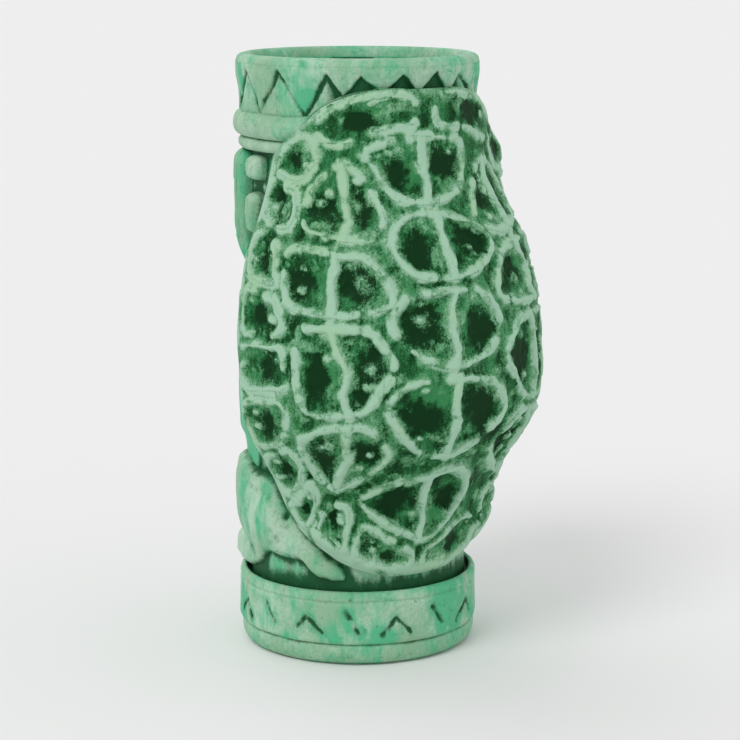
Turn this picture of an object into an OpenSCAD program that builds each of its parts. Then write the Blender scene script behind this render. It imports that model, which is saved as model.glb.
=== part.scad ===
// Ceramic tiki mug with a turtle shell on its back.
// Millimetres.  +Z is up, the foot stands on z = 0 and the cup's axis is the Z axis.
// The carved face looks along -Y, the shell is on the +Y side.

/* [Cup] */
// overall height, foot to lip
mug_h = 190; // [150:1:230]
// outer radius of the plain wall behind the carving
cup_r = 34.8; // [30:0.1:42]
// inner radius of the drinking space
bore_r = 31.5; // [27:0.1:38]
// height of the inside of the floor
floor_z = 9; // [6:0.5:16]
// height of the recess under the floor
under_z = 3; // [1:0.5:5]

/* [Rim] */
// outer radius of the lip and of the notched band
rim_r = 38; // [35:0.1:44]
// depth of the sunk triangles in the band
notch_depth = 0.9; // [0.3:0.1:1.6]
// bottom of the notched band
band_z = 172.4; // [160:0.1:180]
// outer radius of the thick bead
bead_r = 39.3; // [37:0.1:44]
// outer radius of the thin bead
thin_bead_r = 38.2; // [36:0.1:42]

/* [Base] */
// outer radius of the collar
collar_r = 38.4; // [36:0.1:46]
// top of the collar's lip
collar_z = 24; // [18:0.5:32]
// outer radius of the foot ring
foot_r = 38; // [34:0.1:46]
// inner radius of the foot ring
foot_in_r = 28; // [20:0.5:32]
// top of the foot ring
foot_z = 6.8; // [4:0.1:10]

/* [Shell] */
// thickness of the shell's clay behind its plates
core_t = 6; // [4:0.5:10]
// how deep the plates are let in from their ridges
plate_t = 3; // [2:0.1:5]
// clearance under each applied plate
joint_gap = 0.2; // [0.1:0.05:0.4]

/* [Figure] */
// radius of the carved brow
brow_r = 41.2; // [38:0.1:46]
// radius of the lips
lip_r = 40; // [37:0.1:44]
// radius of the teeth
tooth_r = 38.2; // [36:0.1:42]
// how far the nose stands from the axis
nose_y = 47; // [42:0.5:52]

/* [Hidden] */
$fn = 96;

clay = [0.64, 0.78, 0.69];
mint = [0.30, 0.71, 0.54];
ridge = [0.56, 0.72, 0.58];
sunk = [0.14, 0.33, 0.18];
tooth = [0.72, 0.82, 0.74];

// The shell's crest: distance from the cup's axis against height.
crest = [[26, 36.5], [30, 38.2], [35, 40.8], [41, 43.7], [50, 46], [60, 50], [66, 54], [73, 59], [81, 63],
    [89, 64.4], [100, 64.2], [110, 63.2], [121, 60.5], [133, 56], [144, 49.5], [155, 44.6], [162, 43],
    [168, 42.2], [175, 41.4], [182, 40.8]];
// How far round the shell reaches to each side, against height.
reach = [[29, 17], [30.5, 26], [33, 36], [37, 45], [42, 54], [48, 62], [56, 68], [69, 74], [83, 79],
    [93, 81], [105, 83], [117, 81], [130, 78], [141, 75], [150, 73], [156, 71.5], [162, 68], [168, 58],
    [172, 52], [175, 47], [178, 38], [180, 28]];
function axis_y(z) = 10 * exp(-pow((z - 98) / 42, 2));
function crest_r(z) = lookup(z, crest) - axis_y(z);
// What stands out from the cup behind the shell, against height.
function backing(z) = z > 164.3 && z < 172.5 ? bead_r : z > 160.4 && z < 187 ? max(thin_bead_r, rim_r)
    : z < 24.5 ? collar_r : cup_r;
function backing_soft(z) = max(backing(z - 1.2), backing(z), backing(z + 1.2));
function room(z) = lookup(z, crest) - backing_soft(z) - 0.2;
// Depth of the plates' bed under the crest.
function bed(z) = min(plate_t, 0.55 * max(room(z), 0.5));

// A point on the shell: a degrees round from the back towards +X, h above (+) the crest surface.
function on_shell(a, z, h) = let (r = crest_r(z) + h) [r * sin(a), axis_y(z) + r * cos(a), z];
// A point on the cup: a degrees round from the back towards +X, h above the cup's wall.
function on_cup(a, z, h) = [(cup_r + h) * sin(a), (cup_r + h) * cos(a), z];
function place(kind, a, z, h) = kind == "shell" ? on_shell(a, z, h) : on_cup(a, z, h);

// Outlines of the plates, [degrees round, height], for the +X side and the middle row.
vert = [
    [[31, 163], [19, 166], [10, 167.5], [0, 167.5], [-10, 167], [-20, 166], [-21, 158], [-17, 151],
        [-8, 147.5], [1, 146.5], [10, 146.5], [17, 148], [22, 152], [26, 158]],
    [[23, 137], [17, 143], [10, 145], [0, 145], [-10, 143], [-19, 139], [-24, 134], [-17, 129],
        [-9, 126], [0, 124.5], [8, 125], [15, 126], [20, 130]],
    [[26, 115], [22, 120], [15, 122], [6, 122.7], [-5, 122.7], [-11, 122], [-16, 118], [-19.5, 112],
        [-17.5, 106.5], [-10, 101], [0, 98.5], [8, 99], [15, 102], [21, 106], [25, 110]],
    [[28, 88], [24, 93], [18, 96], [8, 96.5], [-2, 96.5], [-12, 95.5], [-19, 90], [-21, 84],
        [-16, 78], [-8, 73], [0, 69], [8, 70], [15, 72], [21, 78], [25, 83]],
    [[34, 56], [27, 60], [17, 63], [3, 64.5], [-4, 66.5], [-10, 66.5], [-19, 58], [-15, 51],
        [-9, 45], [-3, 40.5], [4, 40], [13, 43.5], [22, 47.5], [30, 52]]];
cost = [
    [[54, 139.5], [54, 147], [50, 152.5], [44, 157], [37, 160], [31, 157.5], [26, 152], [22, 147],
        [20.5, 142], [25, 137.5], [32, 136], [40, 137], [48, 138]],
    [[60, 134], [53, 135.5], [45, 134.5], [37, 133.5], [29, 133], [24, 128], [20.5, 121], [22, 117.5],
        [30, 115.5], [37, 114.5], [45, 114.5], [53, 115.5], [60, 116.5], [61, 125]],
    [[56, 112], [48, 112.5], [37, 112.5], [30, 112], [26, 107], [22, 102.5], [23, 98], [27, 93],
        [30, 87], [36, 84.5], [42, 84], [48, 84], [54, 85], [57, 93], [58, 103]],
    [[57, 76], [50, 80], [44, 82], [38, 82.5], [31, 82.5], [26, 78], [21, 72], [25, 67], [34, 61],
        [42, 57.5], [47, 60.5], [52, 67]]];
marg = [
    [[2.5, 178.6], [12, 180.4], [24, 180], [34, 178.2], [45, 175], [50.5, 170.5], [47.5, 164.5],
        [39, 163.5], [31.5, 165.5], [25, 167.6], [14, 169], [3, 169.3]],
    [[50, 168], [46.5, 162.5], [47.5, 158.5], [54.5, 152.5], [61, 154], [69, 156], [65, 162], [57, 167]],
    [[69.5, 154.3], [61, 152.4], [55.5, 151], [55.7, 146], [56.2, 139.5], [62, 138.5], [71, 141.5],
        [71.5, 148]],
    [[72, 139.5], [66, 136.5], [62, 134.5], [62.7, 128], [62, 122.5], [68, 122.5], [76, 124.8],
        [75, 132]],
    [[77, 122.8], [69, 120.5], [62.7, 120], [62, 116], [59.5, 113.5], [61, 107.8], [70, 107.5],
        [79.5, 107], [78.5, 115]],
    [[79.5, 105], [70, 105.5], [60.5, 105.8], [60.5, 98], [59.2, 91], [68, 90.5], [77.5, 90],
        [79.5, 98]],
    [[77.5, 88], [69, 88.5], [59.5, 89], [58.5, 83], [59, 76.5], [64, 73], [72, 71.5], [75.5, 80]],
    [[71.5, 69.5], [64, 71], [58.5, 74], [54, 66], [57, 57.5], [64, 55.5], [69, 62]],
    [[62.5, 53.5], [57, 55], [52.5, 62], [49, 58], [49.5, 51], [53.5, 45.5], [59, 48.5]],
    [[51.5, 43], [47.5, 50], [46, 56], [42, 54.5], [36.5, 54.5], [34, 50], [36, 44], [36.5, 36],
        [44, 38.5]],
    [[33.5, 35], [33, 43], [30.5, 48.2], [24, 45.5], [15, 41.5], [6, 38], [3.5, 33], [11, 29.8],
        [23, 30.5]]];
// The shell is hand cut, so its two lowest and highest plates differ a little from side to side.
top_right = [[-3, 178.6], [-10, 180], [-21, 180], [-34, 177.8], [-45, 174.5], [-50, 170], [-47, 164.5],
    [-38, 163.5], [-30, 166], [-22, 168.3], [-12, 169], [-3, 169.3]];
low_right = [[0.5, 36.5], [-4, 38.8], [-10, 43], [-18, 46.5], [-26, 47.5], [-30.5, 43], [-31.5, 35],
    [-22, 30], [-10, 29.4], [0, 30.5]];
function cost_right(o) = [for (p = o) [-(1.1 * p[0] - 6), p[1]]];
function marg_right(o) = [for (p = o) [-(1.05 * p[0] - 3), p[1]]];

// Outlines carved on the cup for the +X side, and what they stand out.
ear = [[99, 157.5], [103, 160], [111, 160.2], [119, 157.5], [124, 150.5], [124, 141], [119, 132],
    [112, 125.5], [103, 123], [99.5, 125], [102, 133], [101.5, 149]];
hair_up = [[83.5, 159], [92, 159.6], [96.8, 158.2], [97.3, 154], [95.5, 151.4], [84, 151.3], [83, 155]];
hair_low = [[85.5, 147.2], [93, 148], [98, 146.4], [99.7, 141], [97.5, 135.2], [91, 134.2],
    [89, 137.5], [86.5, 143]];
arm = [[104, 116], [112, 118], [119, 112], [122, 100], [125, 90], [133, 82.5], [146, 79], [158, 79],
    [164, 76], [165, 70], [160, 66], [148, 64.5], [134, 65], [121, 66], [110, 69.5], [103, 76],
    [100.5, 88], [101, 102]];
leg = [[41, 26.6], [46, 31], [55, 35], [62.5, 40.5], [71, 47], [78, 53.5], [84, 58], [92, 60.5], [103, 61],
    [116, 60], [130, 57], [142, 52], [149, 44], [156, 36], [163, 31], [165, 26.8], [152, 24.8],
    [140, 24.8], [127, 24.8], [114, 25], [101, 25.7], [96.5, 26.8], [92, 27.6], [87, 30], [81.5, 33.4],
    [74, 32.6], [66, 32.4], [58, 32.6], [56, 31.4], [52, 29.4], [47.5, 27.4]];
// The +X leg has a heel beside the shell; the other one stops short of it.
far_leg = concat([[61, 34], [62, 41]], [for (i = [4:len(leg) - 5]) leg[i]]);
function other_side(o) = [for (p = o) [-p[0], p[1]]];

function halves(o) = let (n = len(o)) [for (i = [0:n - 1]) each [o[i], (o[i] + o[(i + 1) % n]) / 2]];
function turn(o) = let (n = len(o), w = [for (i = [0:n - 1])
    o[i][0] * o[(i + 1) % n][1] - o[(i + 1) % n][0] * o[i][1]]) w * [for (i = w) 1];
function backward(o) = [for (i = [len(o) - 1:-1:0]) o[i]];
function rise(kind, z) = kind == "shell" ? bed(z) : 1;
function under(kind, z) = joint_gap - (kind == "shell" ? bed(z) : 0);

// Fractions out from the middle and heights, in beds on the shell and millimetres on the cup.
plate_up = [[1, -0.5], [0.9, 0], [0.72, -0.3], [0.4, -0.45], [0, -0.4]];
plate_down = [1, 0.66, 0.33, 0];
limb_down = [1, 0.8, 0.6, 0.4, 0.2, 0];
ear_up = [[1, 1.5], [0.88, 4.2], [0.7, 4.8], [0.4, 3], [0, 2.6]];
hair_up_h = [[1, 1.5], [0.85, 3.3], [0.5, 3.6], [0, 3.6]];
arm_up = [[1, 1], [0.88, 3], [0.65, 4], [0.42, 4.5], [0.2, 4.6], [0, 4.6]];
leg_up = [[1, 1.2], [0.88, 3.6], [0.65, 4.8], [0.42, 5.2], [0.2, 5.3], [0, 5.3]];

// A closed pad inside an outline: rings of points over the top, the same underneath.
module pad(kind, outline, c, up, down = plate_down) {
    o = halves(turn(outline) > 0 ? backward(outline) : outline);
    n = len(o);
    a = len(up) - 1;
    b = len(down) - 1;
    over = [for (k = [0:a - 1], p = o) let (q = c + (p - c) * up[k][0])
        place(kind, q[0], q[1], up[k][1] * rise(kind, q[1]))];
    below = [for (k = [0:b - 1], p = o) let (q = c + (p - c) * down[k])
        place(kind, q[0], q[1], under(kind, q[1]))];
    mids = [place(kind, c[0], c[1], up[a][1] * rise(kind, c[1])), place(kind, c[0], c[1], under(kind, c[1]))];
    t = (a + b) * n;
    function nx(i) = (i + 1) % n;
    faces = concat(
        [for (k = [0:a - 2], i = [0:n - 1]) let (p = k * n)
            each [[p + i, p + nx(i), p + n + nx(i)], [p + i, p + n + nx(i), p + n + i]]],
        [for (i = [0:n - 1]) [(a - 1) * n + i, (a - 1) * n + nx(i), t]],
        [for (k = [0:b - 2], i = [0:n - 1]) let (p = (a + k) * n)
            each [[p + nx(i), p + i, p + n + nx(i)], [p + n + nx(i), p + i, p + n + i]]],
        [for (i = [0:n - 1]) [(a + b - 1) * n + nx(i), (a + b - 1) * n + i, t + 1]],
        [for (i = [0:n - 1]) each [[nx(i), i, a * n + i], [nx(i), a * n + i, a * n + nx(i)]]]);
    polyhedron(points = concat(over, below, mids), faces = faces, convexity = 6);
}

// A slab carved on the front: the drawn outline, pressed through from the front, between two radii.
module carved(r0, r1) {
    intersection() {
        rotate([90, 0, 0]) linear_extrude(60) children();
        difference() {
            cylinder(r = r1, h = mug_h);
            translate([0, 0, -1]) cylinder(r = r0, h = mug_h + 2);
        }
    }
}

// A ring round the cup with a rounded outside.
module round_ring(r0, r1, z0, z1) {
    rotate_extrude() polygon(concat([[r0, z0]],
        [for (t = [-90:15:90]) [r1 - (r1 - r0) * 0.75 * (1 - cos(t)), (z0 + z1) / 2 + (z1 - z0) / 2 * sin(t)]],
        [[r0, z1]]));
}

module cup_wall() color(clay) rotate_extrude() polygon([[0, under_z], [foot_in_r - 0.4, under_z],
    [foot_in_r - 0.4, foot_z + 0.2], [cup_r, foot_z + 0.2], [cup_r, mug_h - 2.8],
    [rim_r, mug_h - 2.8], [rim_r - 0.3, mug_h - 1.3], [rim_r - 1.2, mug_h - 0.3], [rim_r - 2.2, mug_h],
    [rim_r - 3.2, mug_h - 0.3], [rim_r - 4.2, mug_h - 1.4], [bore_r + 1.4, mug_h - 4],
    [bore_r, mug_h - 8], [bore_r, floor_z + 3], [bore_r - 3, floor_z], [0, floor_z]]);

module rim_band() color(clay) difference() {
    rotate_extrude() polygon([[cup_r, band_z], [rim_r - 0.4, band_z], [rim_r, band_z + 0.6],
        [rim_r, mug_h - 2.8], [cup_r, mug_h - 2.8]]);
    difference() {
        for (k = [0:19]) rotate([0, 0, k * 18 + 9]) rotate([90, 0, 0])
            linear_extrude(60) polygon([[-4.6, band_z + 1.4], [4.6, band_z + 1.4], [0, mug_h - 4.2]]);
        cylinder(r = rim_r - notch_depth, h = mug_h + 1);
    }
}

module rim_bead() color(mint) round_ring(cup_r, bead_r, 164.4, band_z);
module rim_thin_bead() color(clay) round_ring(cup_r, thin_bead_r, 160.4, 164.4);

module base_collar() color(clay) rotate_extrude() polygon([[cup_r, foot_z], [collar_r - 0.6, foot_z],
    [collar_r, foot_z + 1], [collar_r, collar_z - 4], [collar_r - 0.7, collar_z - 3.4],
    [collar_r, collar_z - 2.8], [collar_r, collar_z - 1.2], [collar_r - 0.9, collar_z],
    [collar_r - 1.9, collar_z - 0.4], [collar_r - 2.2, collar_z - 2.4], [cup_r, collar_z - 2.4]]);

module base_foot() color(clay) rotate_extrude() polygon([[foot_in_r, 1], [foot_in_r + 1, 0],
    [foot_r - 2, 0], [foot_r - 0.6, 0.6], [foot_r, 2.2], [foot_r, foot_z - 1.4],
    [foot_r - 0.8, foot_z], [foot_in_r, foot_z]]);

// The shell's body: a bowed layer over the back, closed down to the cup all round its edge.
rows = [29, 30.5, 33, 37, 42, 48, 56, 62, 69, 76, 83, 88, 93, 99, 105, 111, 117, 123.5, 130, 136, 141,
    146, 150, 156, 159, 162, 165, 168, 170, 172, 175, 178, 180];
across = [-1, -0.93, -0.86, -0.8, -0.7, -0.6, -0.5, -0.4, -0.3, -0.2, -0.1, 0, 0.1, 0.2, 0.3, 0.4, 0.5,
    0.6, 0.7, 0.8, 0.86, 0.93, 1];
function core_out(u, z) = on_shell(u * lookup(z, reach), z, -bed(z));
function core_in(u, z) =
    let (q = on_shell(u * lookup(z, reach), z, -bed(z) - core_t),
        w = abs(u),
        turned = lookup(z, reach) * sign(u) * (w < 0.86 ? w / 0.86 * 0.9 : 0.9 + (w - 0.86) / 0.14 * 0.24),
        r = backing_soft(z) + 0.2)
    w < 0.83 && z > 50 && z < 148 && norm([q[0], q[1]]) > r + 0.8 ? q
        : [r * sin(turned), r * cos(turned), z];
module carapace_core() {
    n = len(across);
    m = len(rows);
    pts = concat([for (z = rows, u = across) core_out(u, z)], [for (z = rows, u = across) core_in(u, z)]);
    s = m * n;
    faces = concat(
        [for (j = [0:m - 2], i = [0:n - 2]) let (p = j * n + i)
            each [[p, p + 1, p + n + 1], [p, p + n + 1, p + n]]],
        [for (j = [0:m - 2], i = [0:n - 2]) let (p = s + j * n + i)
            each [[p + 1, p, p + n + 1], [p + n + 1, p, p + n]]],
        [for (i = [0:n - 2]) each [[i + 1, i, s + i], [i + 1, s + i, s + i + 1]]],
        [for (i = [0:n - 2]) let (p = (m - 1) * n + i) each [[p, p + 1, s + p + 1], [p, s + p + 1, s + p]]],
        [for (j = [0:m - 2]) let (p = j * n) each [[p, p + n, s + p + n], [p, s + p + n, s + p]]],
        [for (j = [0:m - 2]) let (p = j * n + n - 1) each [[p + n, p, s + p], [p + n, s + p, s + p + n]]]);
    color(sunk) polyhedron(points = pts, faces = faces, convexity = 8);
}

module plate(outline, c) color(ridge) pad("shell", outline, c, plate_up);
module limb(outline, c, up) color(mint) pad("cup", outline, c, up, limb_down);

module vertebral_1() plate(vert[0], [3, 157]);
module vertebral_2() plate(vert[1], [0, 135]);
module vertebral_3() plate(vert[2], [2, 112]);
module vertebral_4() plate(vert[3], [2, 85]);
module vertebral_5() plate(vert[4], [4, 54]);
costal_mid = [[38, 147], [43, 124], [40, 98], [39, 72]];
module costal_left(i) plate(cost[i], costal_mid[i]);
module costal_right(i) plate(cost_right(cost[i]), cost_right(costal_mid)[i]);
module costal_left_1() costal_left(0);
module costal_left_2() costal_left(1);
module costal_left_3() costal_left(2);
module costal_left_4() costal_left(3);
module costal_right_1() costal_right(0);
module costal_right_2() costal_right(1);
module costal_right_3() costal_right(2);
module costal_right_4() costal_right(3);
marginal_mid = [[29, 172], [58, 160], [64, 146], [68, 130], [70, 114], [69, 98], [67, 81], [62, 65], [55, 53],
    [42, 48], [18, 36]];
module marginal_left(i) plate(marg[i], marginal_mid[i]);
module marginal_right(i) plate(marg_right(marg[i]), marg_right(marginal_mid)[i]);
module marginal_left_1() marginal_left(0);
module marginal_left_2() marginal_left(1);
module marginal_left_3() marginal_left(2);
module marginal_left_4() marginal_left(3);
module marginal_left_5() marginal_left(4);
module marginal_left_6() marginal_left(5);
module marginal_left_7() marginal_left(6);
module marginal_left_8() marginal_left(7);
module marginal_left_9() marginal_left(8);
module marginal_left_10() marginal_left(9);
module marginal_left_11() marginal_left(10);
module marginal_right_2() marginal_right(1);
module marginal_right_3() marginal_right(2);
module marginal_right_4() marginal_right(3);
module marginal_right_5() marginal_right(4);
module marginal_right_6() marginal_right(5);
module marginal_right_7() marginal_right(6);
module marginal_right_8() marginal_right(7);
module marginal_right_9() marginal_right(8);
module marginal_right_10() marginal_right(9);
module marginal_right_1() plate(top_right, [-28, 172]);
module marginal_right_11() plate(low_right, [-16, 37]);

brow_line = [[-32, 151], [-22, 156.5], [-8, 154], [0, 150.5], [8, 154], [22, 156.5], [32, 151],
    [31.5, 143.5], [24, 144.5], [15, 145], [7, 141.5], [-7, 141.5], [-15, 145], [-24, 144.5],
    [-31.5, 143.5]];
module brow() color(clay) carved(cup_r, brow_r) polygon(brow_line);

// A bulging eye with a heavy slit.
module eye(side) color(tooth) difference() {
    rotate([0, 0, side * 27]) translate([0, -30, 129.5]) sphere(r = 10.4);
    translate([0, 0, 90]) cylinder(r = cup_r, h = 80);
    rotate([0, 0, side * 27]) translate([-7, -60, 128.6]) cube([14, 21, 1.8]);
}
module eye_left() eye(1);
module eye_right() eye(-1);

module nose() color(clay) difference() {
    intersection() {
        rotate([90, 0, 0]) linear_extrude(60) polygon([[-4, 141.2], [4, 141.2], [5, 131], [7.2, 124],
            [13.5, 114], [13, 108.6], [9, 107], [-9, 107], [-13, 108.6], [-13.5, 114], [-7.2, 124], [-5, 131]]);
        rotate([90, 0, 90]) translate([0, 0, -20]) linear_extrude(40) polygon([[-20, 107],
            [2 - nose_y, 107.4], [-nose_y, 110.5], [1.5 - nose_y, 115], [4.5 - nose_y, 124],
            [-40.4, 141.2], [-20, 141.2]]);
    }
    translate([0, 0, 90]) cylinder(r = cup_r, h = 80);
    for (s = [-1, 1]) translate([s * 7, 3.5 - nose_y, 105]) sphere(r = 3);
}

mouth_out = [[-26, 95], [-22, 102.5], [-10, 105.4], [10, 105.4], [22, 102.5], [26, 95], [22, 87],
    [10, 84.4], [-10, 84.4], [-22, 87]];
mouth_in = [[-21.5, 95], [-18.5, 100], [-9, 102], [9, 102], [18.5, 100], [21.5, 95], [18.5, 89.6],
    [9, 87.8], [-9, 87.8], [-18.5, 89.6]];
module lips() color(clay) carved(cup_r, lip_r) difference() {
    polygon(mouth_out);
    polygon(mouth_in);
}
module mouth_part(z0, z1) intersection() {
    translate([0, 95]) scale(0.985) translate([0, -95]) polygon(mouth_in);
    translate([-22, z0]) square([44, z1 - z0]);
}
module teeth(z0, z1, n) color(tooth) union() {
    carved(cup_r, cup_r + 1.2) mouth_part(z0, z1);
    carved(cup_r, tooth_r) intersection() {
        mouth_part(z0, z1);
        for (k = [0:n - 1]) translate([-20 + k * 40 / n + 0.25, z0]) square([40 / n - 0.5, z1 - z0]);
    }
}
module teeth_upper() teeth(95.4, 102, 8);
module teeth_lower() teeth(87.6, 94.6, 7);

module ear_left() color(mint) pad("cup", ear, [111, 144], ear_up);
module ear_right() color(mint) pad("cup", other_side(ear), [-111, 144], ear_up);
module hair_left_upper() color(clay) pad("cup", hair_up, [90, 155.4], hair_up_h);
module hair_left_lower() color(clay) pad("cup", hair_low, [93.5, 141], hair_up_h);
module hair_right_upper() color(clay) pad("cup", other_side(hair_up), [-90, 155.4], hair_up_h);
module hair_right_lower() color(clay) pad("cup", other_side(hair_low), [-93.5, 141], hair_up_h);
module arm_left() limb(arm, [113, 80], arm_up);
module arm_right() limb(other_side(arm), [-113, 80], arm_up);
module leg_left() limb(leg, [72, 42], leg_up);
module leg_right() limb(other_side(far_leg), [-82, 42], leg_up);

cup_wall();
rim_band();
rim_bead();
rim_thin_bead();
base_collar();
base_foot();
carapace_core();
vertebral_1();
vertebral_2();
vertebral_3();
vertebral_4();
vertebral_5();
costal_left_1();
costal_left_2();
costal_left_3();
costal_left_4();
costal_right_1();
costal_right_2();
costal_right_3();
costal_right_4();
marginal_left_1();
marginal_left_2();
marginal_left_3();
marginal_left_4();
marginal_left_5();
marginal_left_6();
marginal_left_7();
marginal_left_8();
marginal_left_9();
marginal_left_10();
marginal_left_11();
marginal_right_1();
marginal_right_2();
marginal_right_3();
marginal_right_4();
marginal_right_5();
marginal_right_6();
marginal_right_7();
marginal_right_8();
marginal_right_9();
marginal_right_10();
marginal_right_11();
brow();
eye_left();
eye_right();
nose();
lips();
teeth_upper();
teeth_lower();
ear_left();
ear_right();
hair_left_upper();
hair_left_lower();
hair_right_upper();
hair_right_lower();
arm_left();
arm_right();
leg_left();
leg_right();
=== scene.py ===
import math

import bpy
import numpy as np
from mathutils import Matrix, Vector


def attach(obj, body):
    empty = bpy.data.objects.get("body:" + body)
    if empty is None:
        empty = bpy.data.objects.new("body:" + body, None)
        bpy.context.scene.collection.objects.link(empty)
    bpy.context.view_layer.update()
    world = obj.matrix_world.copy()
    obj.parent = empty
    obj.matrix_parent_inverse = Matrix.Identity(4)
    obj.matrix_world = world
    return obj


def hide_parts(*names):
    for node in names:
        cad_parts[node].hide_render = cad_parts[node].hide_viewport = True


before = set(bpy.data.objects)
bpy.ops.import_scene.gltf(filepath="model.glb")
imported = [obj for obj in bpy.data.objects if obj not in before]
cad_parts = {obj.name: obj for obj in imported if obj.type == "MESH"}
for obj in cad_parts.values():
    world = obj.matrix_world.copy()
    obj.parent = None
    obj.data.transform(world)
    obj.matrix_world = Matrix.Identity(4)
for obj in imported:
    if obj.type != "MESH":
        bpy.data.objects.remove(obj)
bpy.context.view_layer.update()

# Shapes are worked out in millimetres, angles in degrees round from the back (+Y) towards +X.
CUP_R = 34.8
SHELL_LOW, SHELL_HIGH = 28.4, 180.8


# ---------------------------------------------------------------- number helpers
def smooth(x, a, b):
    t = np.clip((np.asarray(x, float) - a) / (b - a), 0, 1)
    return t * t * (3 - 2 * t)


def fade(x, a, b):
    return 1 - smooth(x, a, b)


def bump(x, half):
    """1 in the middle, falling smoothly to 0 at +-half."""
    return fade(np.abs(x), 0, half)


def curve(x, table):
    """Smooth curve through a table of [x, y]."""
    xs, ys = np.array(table, float).T
    m = np.gradient(ys, xs)
    x = np.clip(x, xs[0], xs[-1])
    i = np.clip(np.searchsorted(xs, x, side="right") - 1, 0, len(xs) - 2)
    h = xs[i + 1] - xs[i]
    t = (x - xs[i]) / h
    return ((2 * t**3 - 3 * t**2 + 1) * ys[i] + (t**3 - 2 * t**2 + t) * h * m[i]
            + (-2 * t**3 + 3 * t**2) * ys[i + 1] + (t**3 - t**2) * h * m[i + 1])


def lattice(ix, iy, iz, seed):
    with np.errstate(over="ignore"):
        h = (ix.astype(np.uint32) * np.uint32(374761393)) ^ (iy.astype(np.uint32) * np.uint32(668265263))
        h = h ^ (iz.astype(np.uint32) * np.uint32(2246822519)) ^ np.uint32(seed * 40503 + 977)
        h = (h ^ (h >> np.uint32(15))) * np.uint32(2246822519)
        h = (h ^ (h >> np.uint32(13))) * np.uint32(3266489917)
        h = h ^ (h >> np.uint32(16))
    return h.astype(float) / 4294967295.0


def noise(p, size, seed):
    """Smooth value noise from 0 to 1 with lumps of that size; p is (..., 3)."""
    q = np.asarray(p, float) / size + 500.0
    i = np.floor(q).astype(np.int64)
    f = q - i
    f = f * f * f * (f * (f * 6 - 15) + 10)
    out = 0.0
    for dx in (0, 1):
        wx = f[..., 0] if dx else 1 - f[..., 0]
        for dy in (0, 1):
            wy = f[..., 1] if dy else 1 - f[..., 1]
            for dz in (0, 1):
                wz = f[..., 2] if dz else 1 - f[..., 2]
                out = out + wx * wy * wz * lattice(i[..., 0] + dx, i[..., 1] + dy, i[..., 2] + dz, seed)
    return out


def fbm(p, size, seed, octaves):
    total, weight, amount = 0.0, 0.0, 1.0
    for k in range(octaves):
        total = total + amount * noise(p, size / 2**k, seed + 13 * k)
        weight += amount
        amount *= 0.55
    return total / weight


def ripple(p, size, seed, octaves):
    """The same noise from about -0.5 to 0.5."""
    return fbm(p, size, seed, octaves) - 0.5


# ---------------------------------------------------------------- surfaces
CREST = [[26, 36.5], [30, 38.2], [35, 40.8], [41, 43.7], [50, 46], [60, 50], [66, 54], [73, 59], [81, 63],
         [89, 64.4], [100, 64.2], [110, 63.2], [121, 60.5], [133, 56], [144, 49.5], [155, 44.6], [162, 43],
         [168, 42.2], [175, 41.4], [182, 40.8]]
REACH = [[28.4, 13], [29, 17], [30.5, 26], [33, 36], [37, 45], [42, 54], [48, 62], [56, 68], [69, 74],
         [83, 79], [93, 81], [105, 83], [117, 81], [130, 78], [141, 75], [150, 73], [156, 71.5], [162, 68],
         [168, 58], [172, 52], [175, 47], [178, 38], [180, 28], [180.8, 20]]
BED = [[26, 0.9], [30, 1.3], [35, 2.6], [38, 3], [100, 3], [152, 3], [158, 2.3], [164, 1.5], [176, 1.5],
       [182, 1.3]]


def axis_y(z):
    return 10 * np.exp(-((np.asarray(z, float) - 98) / 42) ** 2)


def crest_r(z):
    return curve(z, CREST) - axis_y(z)


def bed(z):
    return curve(z, BED)


def turned(r, a, z):
    """Points at radius r and angle a round the cup's axis, at height z."""
    a = np.radians(a)
    x = r * np.sin(a)
    return np.stack([x, r * np.cos(a), np.broadcast_to(z, x.shape)], -1)


def on_shell(a, z, h=0):
    # the right shoulder swells a little
    across = (np.asarray(a, float) + 66) / 10
    along = (np.asarray(z, float) - 158) / 7.5
    swell = 3.4 * np.exp(-(across ** 2 + along ** 2))
    p = turned(crest_r(z) + h + swell, a, z)
    p[..., 1] += axis_y(z)
    return p


def on_cup(a, z, h=0):
    return turned(CUP_R + h, a, z)


def to_segments(p, line, closed):
    """Distance from points p (..., 2) to a polyline."""
    line = np.asarray(line, float)
    a = line if closed else line[:-1]
    b = np.roll(line, -1, 0) if closed else line[1:]
    best = np.full(p.shape[:-1], 1e9)
    for s, e in zip(a, b):
        d = e - s
        t = np.clip(((p - s) @ d) / max(d @ d, 1e-12), 0, 1)
        best = np.minimum(best, np.linalg.norm(p - s - t[..., None] * d, axis=-1))
    return best


def rounded(outline, passes=2, cut=0.22):
    p = np.asarray(outline, float)
    for _ in range(passes):
        q = np.roll(p, -1, 0)
        p = np.stack([p + cut * (q - p), q - cut * (q - p)], 1).reshape(-1, 2)
    return p


def resample(p, n):
    q = np.vstack([p, p[:1]])
    s = np.concatenate([[0], np.cumsum(np.linalg.norm(np.diff(q, axis=0), axis=1))])
    t = np.linspace(0, s[-1], n, endpoint=False)
    return np.stack([np.interp(t, s, q[:, 0]), np.interp(t, s, q[:, 1])], 1)


def grown(p, amount, wobble, seed):
    """The closed outline moved outwards, and made a little uneven."""
    t = np.roll(p, -1, 0) - np.roll(p, 1, 0)
    out = np.stack([t[:, 1], -t[:, 0]], 1) / np.linalg.norm(t, axis=1)[:, None]
    area = np.sum(p[:, 0] * np.roll(p[:, 1], -1) - p[:, 1] * np.roll(p[:, 0], -1))
    uneven = ripple(np.concatenate([p, np.full((len(p), 1), seed * 3.1)], 1), 5.0, 19, 2)
    return p + out * (amount + wobble * uneven)[:, None] * (1 if area > 0 else -1)


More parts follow.
